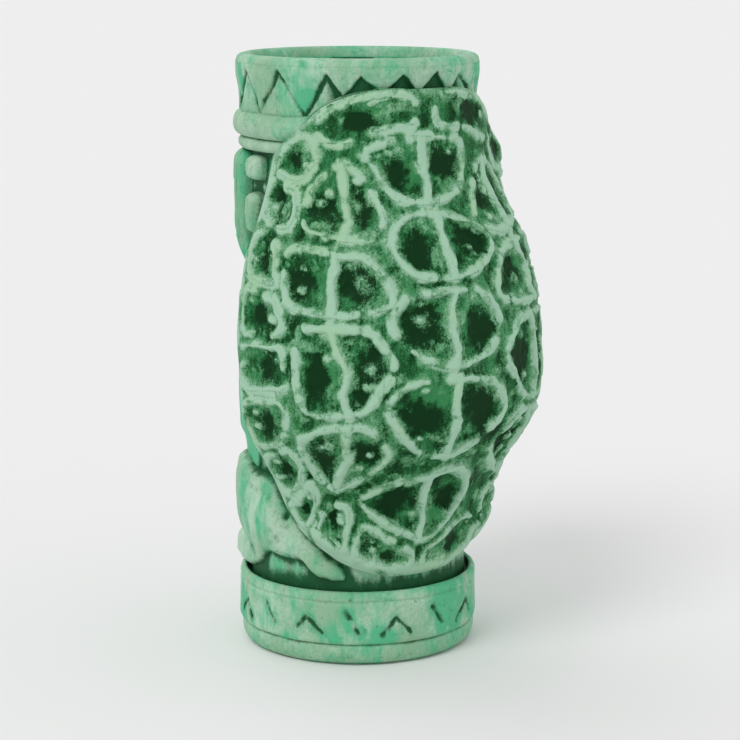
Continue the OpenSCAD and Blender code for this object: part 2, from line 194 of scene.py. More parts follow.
# ---------------------------------------------------------------- meshes
def put(name, data):
    obj = bpy.data.objects.new(name, data)
    bpy.context.scene.collection.objects.link(obj)
    return obj


def make_mesh(name, pts, quads, tris, attributes, material, second=None, second_faces=None):
    """A closed mesh from millimetre points; faces are turned outwards by its volume."""
    pts = np.asarray(pts, float)
    quads = np.asarray(quads, int).reshape(-1, 4)
    tris = np.asarray(tris, int).reshape(-1, 3)
    every = np.vstack([tris, quads[:, [0, 1, 2]], quads[:, [0, 2, 3]]])
    a, b, c = pts[every[:, 0]], pts[every[:, 1]], pts[every[:, 2]]
    if np.einsum("ij,ij->i", a, np.cross(b, c)).sum() < 0:
        quads, tris = quads[:, ::-1], tris[:, ::-1]
    mesh = bpy.data.meshes.new(name)
    mesh.from_pydata((pts * 0.001).tolist(), [], quads.tolist() + tris.tolist())
    mesh.polygons.foreach_set("use_smooth", np.ones(len(mesh.polygons), bool))
    for key, values in attributes.items():
        at = mesh.attributes.new(key, "FLOAT", "POINT")
        at.data.foreach_set("value", np.broadcast_to(values, len(pts)).astype(np.float32))
    mesh.materials.append(material)
    if second is not None:
        mesh.materials.append(second)
        mesh.polygons.foreach_set("material_index", np.concatenate(
            [second_faces, np.zeros(len(tris), int)]).astype(np.int32))
    mesh.update()
    return put(name, mesh)


def grid_faces(m, n, closed=False):
    """Faces between m rings of n points; closed joins the last ring to the first."""
    i = np.arange(m if closed else m - 1)[:, None]
    j = np.arange(n)[None]
    after, beside = (i + 1) % m * n, (j + 1) % n
    return np.stack([i * n + j, i * n + beside, after + beside, after + j], -1).reshape(-1, 4)


def stand_for(obj, slot, *nodes):
    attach(obj, "root")
    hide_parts(*nodes)


def pad(name, kind, outline, centre, relief, material, n=150, rings=40, low=-0.8, passes=2, grow=0.0,
        wobble=0.0):
    """A raised piece inside an outline.

    relief(a, z, u, v, d) gives its height over the surface in millimetres, and its attributes:
    a, z are the place, u, v the same in millimetres from the middle, d the distance from the edge.
    """
    place = on_shell if kind == "shell" else on_cup
    k = math.radians(1) * (float(crest_r(centre[1])) if kind == "shell" else CUP_R + 2)
    edge = resample(rounded(np.array(outline, float) * [k, 1], passes), n)
    if grow or wobble:
        edge = resample(grown(edge, grow, wobble, len(name) + 7 * ord(name[-1])), n)
    mid = np.array([centre[0] * k, centre[1]], float)
    f = 1 - np.linspace(0, 1, rings) ** 1.3
    flat = mid + f[:-1, None, None] * (edge - mid)
    flat = np.concatenate([flat.reshape(-1, 2), mid[None]])
    d = to_segments(flat, edge, True)
    d[:n] = 0
    a, z = flat[:, 0] / k, flat[:, 1]
    h, tones = relief(a, z, flat[:, 0] - mid[0], flat[:, 1] - mid[1], d)
    top = place(a, z, h)
    under = np.concatenate([mid + g * (edge - mid) for g in (1, 0.7, 0.35)] + [mid[None]])
    base = place(under[:, 0] / k, under[:, 1], low - bed(under[:, 1]) if kind == "shell" else low)
    # rings on top, a strip round the edge, and the under side's three rings from point s on
    m = rings - 1
    s = m * n + 1
    i = np.arange(n)
    j = (i + 1) % n
    quads = np.concatenate([grid_faces(m, n), np.stack([j, i, s + i, s + j], 1),
                            s + grid_faces(3, n)[:, [1, 0, 3, 2]]])
    tris = np.concatenate([np.stack([(m - 1) * n + i, (m - 1) * n + j, np.full(n, m * n)], 1),
                           np.stack([s + 2 * n + j, s + 2 * n + i, np.full(n, s + 3 * n)], 1)])
    attributes = {key: np.concatenate([value, np.zeros(len(base))]) for key, value in tones.items()}
    return make_mesh(name, np.concatenate([top, base]), quads, tris, attributes, material)


def lathe(name, slot, profile, shape, material, n):
    """A closed turned piece: profile is [r, z] points, shape(a, r, z) gives the new r and the tones."""
    profile = np.asarray(profile, float)
    a, r = np.meshgrid(np.linspace(0, 360, n, endpoint=False), profile[:, 0], indexing="ij")
    z = np.broadcast_to(profile[:, 1], a.shape)
    r, tones = shape(a, r, z)
    pts = turned(r, a, z).reshape(-1, 3)
    quads = grid_faces(n, len(profile), True)[:, [0, 3, 2, 1]]
    tones = {key: value.reshape(-1) for key, value in tones.items()}
    stand_for(make_mesh(name, pts, quads, [], tones, material), slot, name)


def dense(points, step):
    """Points along a profile, no further apart than step."""
    out = []
    for a, b in zip(points[:-1], points[1:]):
        n = max(1, int(math.ceil(math.dist(a, b) / step)))
        out += [[a[0] + (b[0] - a[0]) * t / n, a[1] + (b[1] - a[1]) * t / n] for t in range(n)]
    return out + [list(points[-1])]


# ---------------------------------------------------------------- materials
def linear(rgb):
    return tuple((c / 12.92 if c <= 0.04045 else ((c + 0.055) / 1.055) ** 2.4) for c in
                 (v / 255 for v in rgb)) + (1.0,)


class Nodes:
    """Small helper for writing a node tree in order."""

    def __init__(self, name):
        self.material = bpy.data.materials.new(name)
        self.material.use_nodes = True
        self.tree = self.material.node_tree
        self.shader = next(n for n in self.tree.nodes if n.type == "BSDF_PRINCIPLED")

    def join(self, value, socket):
        if isinstance(value, bpy.types.NodeSocket):
            self.tree.links.new(value, socket)
        else:
            socket.default_value = value

    def add(self, kind, inputs, output, **settings):
        """A new node with these settings and inputs; gives its output."""
        node = self.tree.nodes.new(kind)
        for key, value in settings.items():
            setattr(node, key, value)
        for key, value in inputs.items():
            self.join(value, node.inputs[key])
        return node.outputs[output]

    def attribute(self, name):
        return self.add("ShaderNodeAttribute", {}, "Fac", attribute_type="GEOMETRY", attribute_name=name)

    def place(self, scale=(1, 1, 1)):
        here = self.add("ShaderNodeTexCoord", {}, "Object")
        return self.add("ShaderNodeMapping", {"Scale": scale, "Vector": here}, "Vector")

    def noise(self, vector, scale, detail=3.0, rough=0.55, distort=0.0):
        return self.add("ShaderNodeTexNoise", {"Vector": vector, "Scale": scale, "Detail": detail,
                                               "Roughness": rough, "Distortion": distort}, "Fac")

    def math(self, op, a, b):
        return self.add("ShaderNodeMath", {0: a, 1: b}, 0, operation=op)

    def total(self, start, *parts):
        """start plus each part's (value, share, middle): (value - middle) * share."""
        for value, share, middle in parts:
            part = self.math("MULTIPLY", self.math("SUBTRACT", value, middle), share)
            start = self.math("ADD", start, part)
        return start

    def step(self, value, low, high):
        return self.add("ShaderNodeMapRange", {"Value": value, "From Min": low, "From Max": high}, "Result",
                        interpolation_type="SMOOTHSTEP")

    def mix(self, factor, a, b):
        return self.add("ShaderNodeMix", {0: factor, 6: a, 7: b}, 2, data_type="RGBA")

    def bump(self, height, strength, distance):
        return self.add("ShaderNodeBump", {"Height": height, "Strength": strength, "Distance": distance},
                        "Normal")

    def shade(self, **inputs):
        """Sets the shader's inputs, such as Base_Color, and gives the finished material."""
        for key, value in inputs.items():
            self.join(value, self.shader.inputs[key.replace("_", " ")])
        return self.material


DARKEST = linear((3, 50, 17))
DARK = linear((22, 82, 40))
MID = linear((54, 130, 78))
LIGHT_MID = linear((92, 153, 107))
PALE = linear((162, 201, 174))
PALE_WARM = linear((160, 200, 164))
BODY = linear((176, 208, 183))
BODY_GREY = linear((142, 183, 150))
MINT = linear((72, 180, 132))
BODY_DARK = linear((22, 84, 48))


def shell_glaze():
    """Dark green under a mid green wash, with pale glaze dragged dry over the ridges."""
    m = Nodes("shell_glaze")
    where = m.place()
    relief, tone = m.attribute("relief"), m.attribute("tone")
    grain = m.noise(where, 1700.0, 4.0, 0.72)
    patch = m.noise(where, 170.0, 4.0, 0.62, 0.3)
    wash = m.noise(m.place((1, 1, 0.22)), 210.0, 4.0, 0.6, 0.2)
    drag = m.noise(m.place((1, 1, 0.2)), 1000.0, 3.0, 0.65)
    # floor: dark, with mid green wiped over it from top to bottom
    amount = m.total(0.0, (wash, 0.65, 0.0), (patch, 0.35, 0.0), (grain, 0.55, 0.5), (drag, 0.3, 0.5),
                     (tone, 0.55, 0.5), (relief, 0.22, 0.3))
    colour = m.mix(m.step(amount, 0.34, 0.52), DARKEST, DARK)
    colour = m.mix(m.step(amount, 0.44, 0.66), colour, MID)
    # half-tones on the slopes, pale on the crests
    raised = m.total(relief, (grain, 0.8, 0.5), (drag, 0.45, 0.5), (patch, 0.7, 0.5))
    colour = m.mix(m.math("MULTIPLY", m.step(raised, 0.27, 0.55), 0.9), colour, LIGHT_MID)
    pale = m.mix(m.step(m.noise(where, 45.0, 2.0), 0.5, 0.72), PALE, PALE_WARM)
    colour = m.mix(m.step(raised, 0.46, 0.84), colour, pale)
    return m.shade(Base_Color=colour, Specular_IOR_Level=0.12, Roughness=m.total(0.5, (grain, 0.2, 0.0)),
                   Normal=m.bump(m.total(grain, (drag, 0.5, 0.0)), 0.3, 0.0004))


def body_glaze(name, mint_bias):
    """Pale grey-green glaze with soft upright mint washes, dark where it pooled in the cuts and where the
    relief attribute carries painted shade in creases and at the feet of raised pieces.
    """
    m = Nodes(name)
    where = m.place()
    relief, mint = m.attribute("relief"), m.attribute("mint")
    streaks = m.noise(m.place((1, 1, 0.4)), 105.0, 5.0, 0.62, 0.5)
    blotch = m.noise(where, 240.0, 5.0, 0.66, 0.6)
    hairs = m.noise(m.place((1, 1, 0.1)), 900.0, 3.0, 0.6)
    cloud = m.noise(where, 55.0, 3.0, 0.55)
    grain = m.noise(where, 1100.0, 4.0, 0.7)
    base = m.mix(m.step(m.total(cloud, (grain, 0.5, 0.5)), 0.36, 0.64), BODY_GREY, BODY)
    amount = m.total(0.0, (streaks, 0.6, 0.0), (cloud, 0.4, 0.0), (hairs, 0.2, 0.5), (blotch, 0.3, 0.5),
                     (mint, 0.3, 0.0))
    colour = m.mix(m.math("MULTIPLY", m.step(amount, 0.44 - mint_bias, 0.7 - mint_bias), 0.9), base, MINT)
    # low relief turns dark: glaze pooled in the cuts, and painted shade in creases and round raised pieces
    low = m.total(relief, (grain, 0.5, 0.5), (streaks, 0.35, 0.5))
    colour = m.mix(m.step(low, 0.78, 0.18), colour, BODY_DARK)
    smudge = m.step(m.total(blotch, (grain, 0.6, 0.5)), 0.56, 0.78)
    colour = m.mix(m.math("MULTIPLY", smudge, 0.5), colour, MID)
    speck = m.noise(where, 620.0, 2.0, 0.5)
    colour = m.mix(m.math("MULTIPLY", m.step(speck, 0.7, 0.76), 0.55), colour, BODY_DARK)
    return m.shade(Base_Color=colour, Specular_IOR_Level=0.2, Roughness=m.total(0.48, (grain, 0.2, 0.0)),
                   Normal=m.bump(m.total(grain, (hairs, 0.5, 0.0)), 0.22, 0.0003))


SHELL = shell_glaze()
CLAY = body_glaze("body_glaze", 0.0)
WASH = body_glaze("mint_wash", 0.02)
BISQUE = body_glaze("bare_bisque", -0.09)


# ---------------------------------------------------------------- shell plates
VERT = [
    [[31, 163], [19, 166], [10, 167.5], [0, 167.5], [-10, 167], [-20, 166], [-21, 158], [-17, 151],
     [-8, 147.5], [1, 146.5], [10, 146.5], [17, 148], [22, 152], [26, 158]],
    [[23, 137], [17, 143], [10, 145], [0, 145], [-10, 143], [-19, 139], [-24, 134], [-17, 129],
     [-9, 126], [0, 124.5], [8, 125], [15, 126], [20, 130]],
    [[26, 115], [22, 120], [15, 122], [6, 122.7], [-5, 122.7], [-11, 122], [-16, 118], [-19.5, 112],
     [-17.5, 106.5], [-10, 101], [0, 98.5], [8, 99], [15, 102], [21, 106], [25, 110]],
    [[28, 88], [24, 93], [18, 96], [8, 96.5], [-2, 96.5], [-12, 95.5], [-19, 90], [-21, 84],
     [-16, 78], [-8, 73], [0, 69], [8, 70], [15, 72], [21, 78], [25, 83]],
    [[34, 56], [27, 60], [17, 63], [3, 64.5], [-4, 66.5], [-10, 66.5], [-19, 58], [-15, 51],
     [-9, 45], [-3, 40.5], [4, 40], [13, 43.5], [22, 47.5], [30, 52]]]
VERT_MID = [[3, 157], [0, 135], [2, 112], [2, 85], [4, 54]]
COST = [
    [[54, 139.5], [54, 147], [50, 152.5], [44, 157], [37, 160], [31, 157.5], [26, 152], [22, 147],
     [20.5, 142], [25, 137.5], [32, 136], [40, 137], [48, 138]],
    [[60, 134], [53, 135.5], [45, 134.5], [37, 133.5], [29, 133], [24, 128], [20.5, 121], [22, 117.5],
     [30, 115.5], [37, 114.5], [45, 114.5], [53, 115.5], [60, 116.5], [61, 125]],
    [[56, 112], [48, 112.5], [37, 112.5], [30, 112], [26, 107], [22, 102.5], [23, 98], [27, 93],
     [30, 87], [36, 84.5], [42, 84], [48, 84], [54, 85], [57, 93], [58, 103]],
    [[57, 76], [50, 80], [44, 82], [38, 82.5], [31, 82.5], [26, 78], [21, 72], [25, 67], [34, 61],
     [42, 57.5], [47, 60.5], [52, 67]]]
COST_MID = [[38, 147], [43, 124], [40, 98], [39, 72]]
MARG = [
    [[2.5, 178.6], [12, 180.4], [24, 180], [34, 178.2], [45, 175], [50.5, 170.5], [47.5, 164.5],
     [39, 163.5], [31.5, 165.5], [25, 167.6], [14, 169], [3, 169.3]],
    [[50, 168], [46.5, 162.5], [47.5, 158.5], [54.5, 152.5], [61, 154], [69, 156], [65, 162], [57, 167]],
    [[69.5, 154.3], [61, 152.4], [55.5, 151], [55.7, 146], [56.2, 139.5], [62, 138.5], [71, 141.5],
     [71.5, 148]],
    [[72, 139.5], [66, 136.5], [62, 134.5], [62.7, 128], [62, 122.5], [68, 122.5], [76, 124.8],
     [75, 132]],
    [[77, 122.8], [69, 120.5], [62.7, 120], [62, 116], [59.5, 113.5], [61, 107.8], [70, 107.5],
     [79.5, 107], [78.5, 115]],
    [[79.5, 105], [70, 105.5], [60.5, 105.8], [60.5, 98], [59.2, 91], [68, 90.5], [77.5, 90],
     [79.5, 98]],
    [[77.5, 88], [69, 88.5], [59.5, 89], [58.5, 83], [59, 76.5], [64, 73], [72, 71.5], [75.5, 80]],
    [[71.5, 69.5], [64, 71], [58.5, 74], [54, 66], [57, 57.5], [64, 55.5], [69, 62]],
    [[62.5, 53.5], [57, 55], [52.5, 62], [49, 58], [49.5, 51], [53.5, 45.5], [59, 48.5]],
    [[51.5, 43], [47.5, 50], [46, 56], [42, 54.5], [36.5, 54.5], [34, 50], [36, 44], [36.5, 36],
     [44, 38.5]],
    [[33.5, 35], [33, 43], [30.5, 48.2], [24, 45.5], [15, 41.5], [6, 38], [3.5, 33], [11, 29.8],
     [23, 30.5]]]
MARG_MID = [[29, 172], [58, 160], [64, 146], [68, 130], [70, 114], [69, 98], [67, 81], [62, 65], [55, 53],
            [42, 48], [18, 36]]
TOP_RIGHT = [[-3, 178.6], [-10, 180], [-21, 180], [-34, 177.8], [-45, 174.5], [-50, 170], [-47, 164.5],
             [-38, 163.5], [-30, 166], [-22, 168.3], [-12, 169], [-3, 169.3]]
LOW_RIGHT = [[0.5, 36.5], [-4, 38.8], [-10, 43], [-18, 46.5], [-26, 47.5], [-30.5, 43], [-31.5, 35],
             [-22, 30], [-10, 29.4], [0, 30.5]]


def cost_right(points):
    return [[-(1.1 * a - 6), z] for a, z in points]


def marg_right(points):
    return [[-(1.05 * a - 3), z] for a, z in points]


def edge_gap(a, z):
    """How far a place on the shell is from the shell's own edge, in millimetres."""
    k = np.radians(crest_r(z))
    rows = np.linspace(SHELL_LOW, SHELL_HIGH, 90)
    reach = curve(rows, REACH) * np.radians(crest_r(rows))
    line = np.concatenate([np.stack([-reach, rows], 1), np.stack([reach, rows], 1)[::-1]])
    return to_segments(np.stack([a * k, z], -1), line, True)


# Raised lines and hollows of the shell. Each plate has arcs along its border, a keel down its middle
# if it is a large one, small spots on its floor, and hollows beside the keel.
BORDER = 0.93        # how far out the arcs lie, as a share of the way from the middle to the edge
ARC_POINTS = 9
ROUND = 120          # points round a plate's edge
DAB_REACH = 0.6      # spots stay within this share of the plate
RING = 0.4           # how strong the faint rim of a plate is
LIP = 0.8            # and the lip along the shell's edge
STROKES, PITS, POOLS = [], [], []


def stray(start, end, sway, rng, count=5):
    """A line from start to end that strays a little to either side."""
    line = np.linspace(start, end, count)
    line[:, 0] += rng.uniform(-sway, sway, count)
    return line


def draw_plate(outline, middle, seed, arcs, sway, spots):
    """Adds one plate's lines to STROKES as [strength, half width at each end, line], and its hollows.

    sway is how many degrees its keel strays to either side, 0 for no keel.
    """
    rng = np.random.default_rng(seed)
    edge = resample(rounded(outline, 1), ROUND)
    mid = np.array(middle, float)
    low, high = edge.min(0), edge.max(0)
    half = (high - low) / 2
    start = rng.uniform()
    for k in range(arcs):
        t = start + (k + np.linspace(0, rng.uniform(0.6, 0.95), ARC_POINTS)) / arcs
        line = mid + BORDER * (edge[(t * ROUND).astype(int) % ROUND] - mid)
        strength, begin, end = rng.uniform(0.8, 1), rng.uniform(1.4, 2.1), rng.uniform(0.9, 1.6)
        STROKES.append([strength, begin, end, line])
    if sway:
        lean = rng.uniform(-1, 1) * sway
        line = stray([mid[0] + lean, high[1] - 0.5], [mid[0] - lean, low[1] + 0.5], sway, rng)
        STROKES.append([1, rng.uniform(1.4, 1.9), rng.uniform(1.1, 1.6), line])
    for _ in range(spots):
        side = rng.choice([-1, 1])
        place = mid + DAB_REACH * half * [side * rng.uniform(0.45, 1), rng.uniform(-1, 1)]
        size = rng.uniform(0.6, 1.2)
        strength = rng.uniform(0.6, 0.85)
        STROKES.append([strength, size, size, np.array([place - [0.5, 0], place + [0.5, 0.2]])])
    for side in (-1, 1) if sway else (0,):
        place = mid + half * [0.48 * side, rng.uniform(-0.15, 0.15)]
        size = half * [rng.uniform(0.16, 0.3), rng.uniform(0.25, 0.5)]
        PITS.append([*place, *size])
    POOLS.append([*(mid + 0.5 * half * rng.uniform(-1, 1, 2)), *(half * rng.uniform(0.12, 0.3, 2))])


def drawn(a, z):
    """The raised lines at a place (0 to 1), their soft shoulders, and the dark and green hollows."""
    p3 = on_shell(a, z)
    wobble = 1.6 * ripple(p3, 4.5, 301, 2) + 0.7 * ripple(p3, 1.7, 305, 2)
    uneven = 0.6 + 0.8 * fbm(p3, 7.0, 303, 2)
    spread = 1.6 + 4.4 * smooth(fbm(p3, 9.0, 307, 3), 0.36, 0.62)
    grit = ripple(p3, 2.4, 309, 3)
    shape = a.shape
    a, z, wobble, uneven, spread, grit = [np.ravel(f) for f in (a, z, wobble, uneven, spread, grit)]
    got = np.zeros((4, len(a)))
    for strength, w0, w1, line in STROKES:
        k = math.radians(1) * float(crest_r(line[:, 1].mean()))
        line = line * [k, 1]
        low, high = line.min(0) - 9, line.max(0) + 9
        near = np.nonzero((a * k > low[0]) & (a * k < high[0]) & (z > low[1]) & (z < high[1]))[0]
        if not len(near):
            continue
        flat = np.stack([a[near] * k, z[near]], -1)
        for j in range(len(line) - 1):
            step = line[j + 1] - line[j]
            t = np.clip(((flat - line[j]) @ step) / max(step @ step, 1e-6), 0, 1)
            off = np.linalg.norm(flat - line[j] - t[:, None] * step, axis=1) + wobble[near]
            w = (w0 + (w1 - w0) * (j + t) / (len(line) - 1)) * uneven[near]
            crest = strength * fade(off, 0.3 * w, w + 1.5)
            shoulder = strength * fade(off, 0.5 * w, w + spread[near])
            got[0, near] = np.maximum(got[0, near], crest)
            got[1, near] = np.maximum(got[1, near], shoulder)
    for slot, blobs in ((2, PITS), (3, POOLS)):
        for ca, cz, ra, rz in blobs:
            r = np.hypot((a - ca) / ra, (z - cz) / rz) + 0.3 * wobble + 1.6 * grit
            got[slot] = np.maximum(got[slot], fade(r, 0.5, 1.7))
    return got.reshape((4,) + shape)


def plate_relief(seed, floor=0.15, tone=0.5, rim=2.2, firm=0.75, busy=0.4, lip=0.0):
    """Pressed clay: a faint rim, the drawn ridges, and lumps where the glaze caught."""
    def relief(a, z, u, v, d):
        p3 = on_shell(a, z)
        ridge, slope, pit, pool = drawn(a, z)
        wobble = ripple(p3, 6.0, seed, 3)
        strength = firm + (1 - firm) * smooth(fbm(p3, 11.0, seed + 3, 2), 0.38, 0.56)
        width = rim * (0.5 + 0.7 * fbm(p3, 8.0, seed + 5, 2))
        side = smooth(d, -1.0, 1.8)
        g = RING * fade(d + 1.6 * wobble, width, width + 3.2) * strength
        if lip:
            gap = edge_gap(a, z) + 1.6 * wobble
            held = 0.6 + 0.4 * smooth(fbm(p3, 8.0, seed + 19, 2), 0.4, 0.55)
            gap = gap / (1 + 0.5 * fade(z, 52, 76))
            g = np.maximum(g, LIP * fade(gap, 2.6, 5.6) * lip * held)
        rough = fbm(p3, 2.6, seed + 11, 4)
        lumps = smooth(fbm(p3, 5.0, seed + 15, 3), 0.66 - 0.12 * busy, 0.84 - 0.12 * busy)
        g = np.maximum(g, (0.1 + 0.3 * busy) * lumps) * (1 - 0.8 * pit)
        g = np.maximum(g, np.maximum(ridge, 0.6 * slope))
        # the pale glaze misses parts of the crest at random, and the foot of the slope at the plate's edge is
        # painted darker as shade in the crease
        missed = smooth(fbm(p3, 4.0, seed + 17, 3), 0.28, 0.54)
        caught = 0.86 * g * (0.62 + 0.38 * missed) * (0.6 + 0.4 * smooth(d, 0.0, 1.4))
        caught = 0.06 + 0.2 * rough + caught - 0.1 * pit
        g = floor + 0.16 * (rough - 0.5) + (1 - floor) * g - 0.15 * pit
        g = side * (g + 0.05 * (rough - 0.5))
        b = bed(z)
        h = -b - 0.25 + (b + 0.25) * g
        shade = 0.12 + tone + (0.85 - tone) * pool
        return h, {"relief": np.clip(caught, 0, 1.1), "tone": 0.12 + (shade - 0.12) * (1 - pit)}

    return relief


def add_plate(name, outline, centre, seed, n, rings, **look):
    obj = pad(name, "shell", outline, centre, plate_relief(seed, **look), SHELL, n, rings, passes=1,
              grow=0.7 if "marginal" in name else 1.2, wobble=1.4)
    stand_for(obj, "shell_plate", name)


# How each kind of plate looks, from the top down. The top and bottom marginals are plain pale rings;
# those down the sides are broken and lumpy.
VERT_TONE = [0.2, 0.3, 0.25, 0.12, 0.34]
VERT_RIM = [3.4, 3.2, 3.0, 3.2, 3.0]
COST_TONE = [0.42, 0.72, 0.7, 0.42]
MARG_RIM = [2.9, 2.6, 2.0, 1.9, 1.9, 1.8, 1.8, 1.9, 1.9, 2.4, 3.8]
MARG_FIRM = [0.75, 0.8, 0.55, 0.5, 0.5, 0.5, 0.5, 0.5, 0.55, 0.7, 0.95]
MARG_LIP = [1.0, 0.85, 0.6, 0.45, 0.4, 0.4, 0.4, 0.45, 0.6, 0.85, 1.0]
MARG_BUSY = [0.3, 0.3] + [0.7] * 8 + [0]


def every_plate():
    """Each plate's name, outline, middle, its lines (seed, arcs, sway, spots), its mesh
    (seed, points round it, rings of them) and its look."""
    for i in range(5):
        look = dict(tone=VERT_TONE[i], rim=VERT_RIM[i], firm=0.85, busy=0.0)
        yield f"vertebral_{i + 1}", VERT[i], VERT_MID[i], (500 + i, 5, 1.2, 2), (20 + i, 200, 56), look
    for i in range(4):
        look = dict(tone=COST_TONE[i], rim=2.4, firm=0.6, busy=0.7)
        right, middle = cost_right(COST[i]), cost_right([COST_MID[i]])[0]
        yield f"costal_left_{i + 1}", COST[i], COST_MID[i], (520 + i, 5, 2.6, 4), (40 + i, 190, 52), look
        yield f"costal_right_{i + 1}", right, middle, (540 + i, 5, 2.6, 4), (60 + i, 190, 52), look
    for i in range(11):
        lone = i in (0, 10)
        look = dict(rim=MARG_RIM[i], firm=MARG_FIRM[i], busy=MARG_BUSY[i], tone=0.2 if lone else 0.35,
                    lip=MARG_LIP[i])
        right, middle = marg_right(MARG[i]), marg_right([MARG_MID[i]])[0]
        if i == 0:
            right, middle = TOP_RIGHT, [-28, 172]
        if i == 10:
            right, middle = LOW_RIGHT, [-16, 37]
        arcs, spots = (4, 1) if lone else (2, 2)
        yield (f"marginal_left_{i + 1}", MARG[i], MARG_MID[i], (560 + i, arcs, 0, spots),
               (80 + i, 130, 34), look)
        yield (f"marginal_right_{i + 1}", right, middle, (580 + i, arcs, 0, spots),
               (100 + i, 130, 34), look)


# Lines of one plate reach over its neighbours, so all are drawn before any plate is built.
for name, outline, middle, lines, mesh, look in every_plate():
    draw_plate(outline, middle, *lines)
for name, outline, middle, lines, mesh, look in every_plate():
    add_plate(name, outline, middle, *mesh, **look)


# ---------------------------------------------------------------- shell body
ACROSS = 221         # points across the shell's back
FLANK = 24           # points down each of its sides
INNER = 61           # points along its inner face, against the cup
ROOT_R = CUP_R - 0.4  # radius of that face, a little inside the wall
ROOT_SPREAD = 1.14   # how much wider in angle it is than the shell's edge


def make_core():
    rows = np.concatenate([np.linspace(SHELL_LOW, 34, 14), np.linspace(34.6, 174, 230),
                           np.linspace(174.4, SHELL_HIGH, 14)])
    reach = curve(rows, REACH)
    flank_t = np.linspace(0, 1, FLANK + 2)[1:-1]
    u = np.linspace(-1, 1, ACROSS)
    a = u[None] * reach[:, None]
    z = np.broadcast_to(rows[:, None], a.shape)
    p = on_shell(a, z)
    rough = fbm(p, 5.0, 5, 4)
    lumps = smooth(fbm(p, 4.4, 9, 3), 0.48, 0.68)
    gap = edge_gap(a, z)
    broad = 1 + 0.9 * fade(z, 52, 76)
    inside = smooth((gap + 1.5 * (rough - 0.5)) / broad, 0.8, 4.4)
    calm = smooth(gap, 0.3, 3.0)
    ridge, slope, pit, pool = drawn(a, z)
    lumps = lumps * (1 - ridge) * (1 - pit)
    missed = smooth(fbm(p, 4.0, 31, 3), 0.28, 0.54)
    sunk = 0.35 + 0.3 * inside - 0.5 * np.maximum(ridge, 0.5 * slope) * calm + 0.15 * pit
    rugged = calm * (0.8 * (rough - 0.5) * (1 - ridge) + 0.4 * lumps)
    outer = on_shell(a, z, -bed(z) * sunk + rugged - 0.8 * fade(gap, 0, 1.6))
    sides = []
    for sign in (1, -1):
        rim = outer[:, -1 if sign > 0 else 0]
        root_a = ROOT_SPREAD * reach * sign
        root = turned(ROOT_R, root_a, rows)
        root_a = np.radians(root_a)
        strip = rim[:, None] + (root - rim)[:, None] * flank_t[None, :, None]
        inward = np.stack([-np.sin(root_a + sign * 0.9), -np.cos(root_a + sign * 0.9), 0 * rows], -1)
        gap = np.linalg.norm(root - rim, axis=1)[:, None, None]
        groove = fbm(strip * [1, 1, 0.35], 3.0, 15, 3)[..., None] - 0.5
        bow = np.sin(math.pi * flank_t)[None, :, None]
        strip = strip + inward[:, None] * (gap * 0.07 * bow + 0.5 * groove * bow)
        if sign < 0:
            strip = strip[:, ::-1]
        sides.append((strip, root))
    back = turned(ROOT_R, ROOT_SPREAD * reach[:, None] * np.linspace(1, -1, INNER), rows[:, None])
    loop = np.concatenate([outer, sides[0][0], back, sides[1][0]], 1)
    m, n = loop.shape[:2]
    relief = np.zeros((m, n))
    worn = 0.55 + 0.45 * smooth(fbm(p, 9.0, 27, 2), 0.42, 0.56)
    ground = 0.14 + 0.4 * (rough - 0.5) + 0.35 * lumps * inside + 0.8 * worn * (1 - inside) - 0.12 * pit
    relief[:, :ACROSS] = np.maximum(ground, np.maximum(ridge, 0.6 * slope) * (0.62 + 0.38 * missed))
    mint = np.zeros((m, n))
    for start, ts in ((ACROSS, flank_t), (ACROSS + FLANK + INNER, flank_t[::-1])):
        flank = slice(start, start + FLANK)
        patchy = 0.5 * ripple(loop[:, flank] * [1, 1, 0.4], 9.0, 29, 3)
        # the sides are painted darker under the shell's rim and where they meet the cup: painted shade
        pale = smooth(ts[None] + patchy, 0.06, 0.62) * (1 - 0.7 * smooth(ts, 0.86, 1.0))[None]
        relief[:, flank] = 0.12 + 0.72 * pale
        mint[:, flank] = 0.3 * (1 - pale)
    wall = np.zeros((m - 1, n), int)
    wall[:, ACROSS - 1:ACROSS + FLANK] = 1
    wall[:, ACROSS + FLANK + INNER - 1:] = 1
    caps, pts = [], [loop.reshape(-1, 3)]
    extra = m * n
    for row in (0, m - 1):
        pts.append(loop[row].mean(0)[None])
        j = np.arange(n)
        tri = np.stack([row * n + (j + 1) % n, row * n + j, np.full(n, extra)], 1)
        caps.append(tri if row == 0 else tri[:, ::-1])
        extra += 1
    tone = np.full(extra, 0.5)
    tone[:m * n].reshape(m, n)[:, :ACROSS] = 0.12 + (0.42 + 0.4 * pool) * (1 - pit)
    tones = {"relief": np.concatenate([relief.reshape(-1), [0.1, 0.1]]),
             "mint": np.concatenate([mint.reshape(-1), [0, 0]]), "tone": tone}
    return make_mesh("carapace_core", np.concatenate(pts), grid_faces(m, n), np.concatenate(caps), tones,
                     SHELL, CLAY, wall.reshape(-1))


stand_for(make_core(), "shell_ground", "carapace_core")


# ---------------------------------------------------------------- cup, band, beads, base
def signed(a):
    return (a + 180) % 360 - 180


# Gouges cut straight into the wall: cheeks, belly and navel.
WALL_CUTS = [[[180 + side * (180 - a), z] for a, z in line] for side in (-1, 1) for line in (
    [[132, 119], [136, 108]], [[128, 117], [130.5, 107.5]], [[124.5, 114], [126, 107]],
    [[168, 66], [180, 58.5]], [[168, 58], [180, 50.5]], [[168, 50], [180, 42.5]], [[168, 42], [180, 34.5]])]


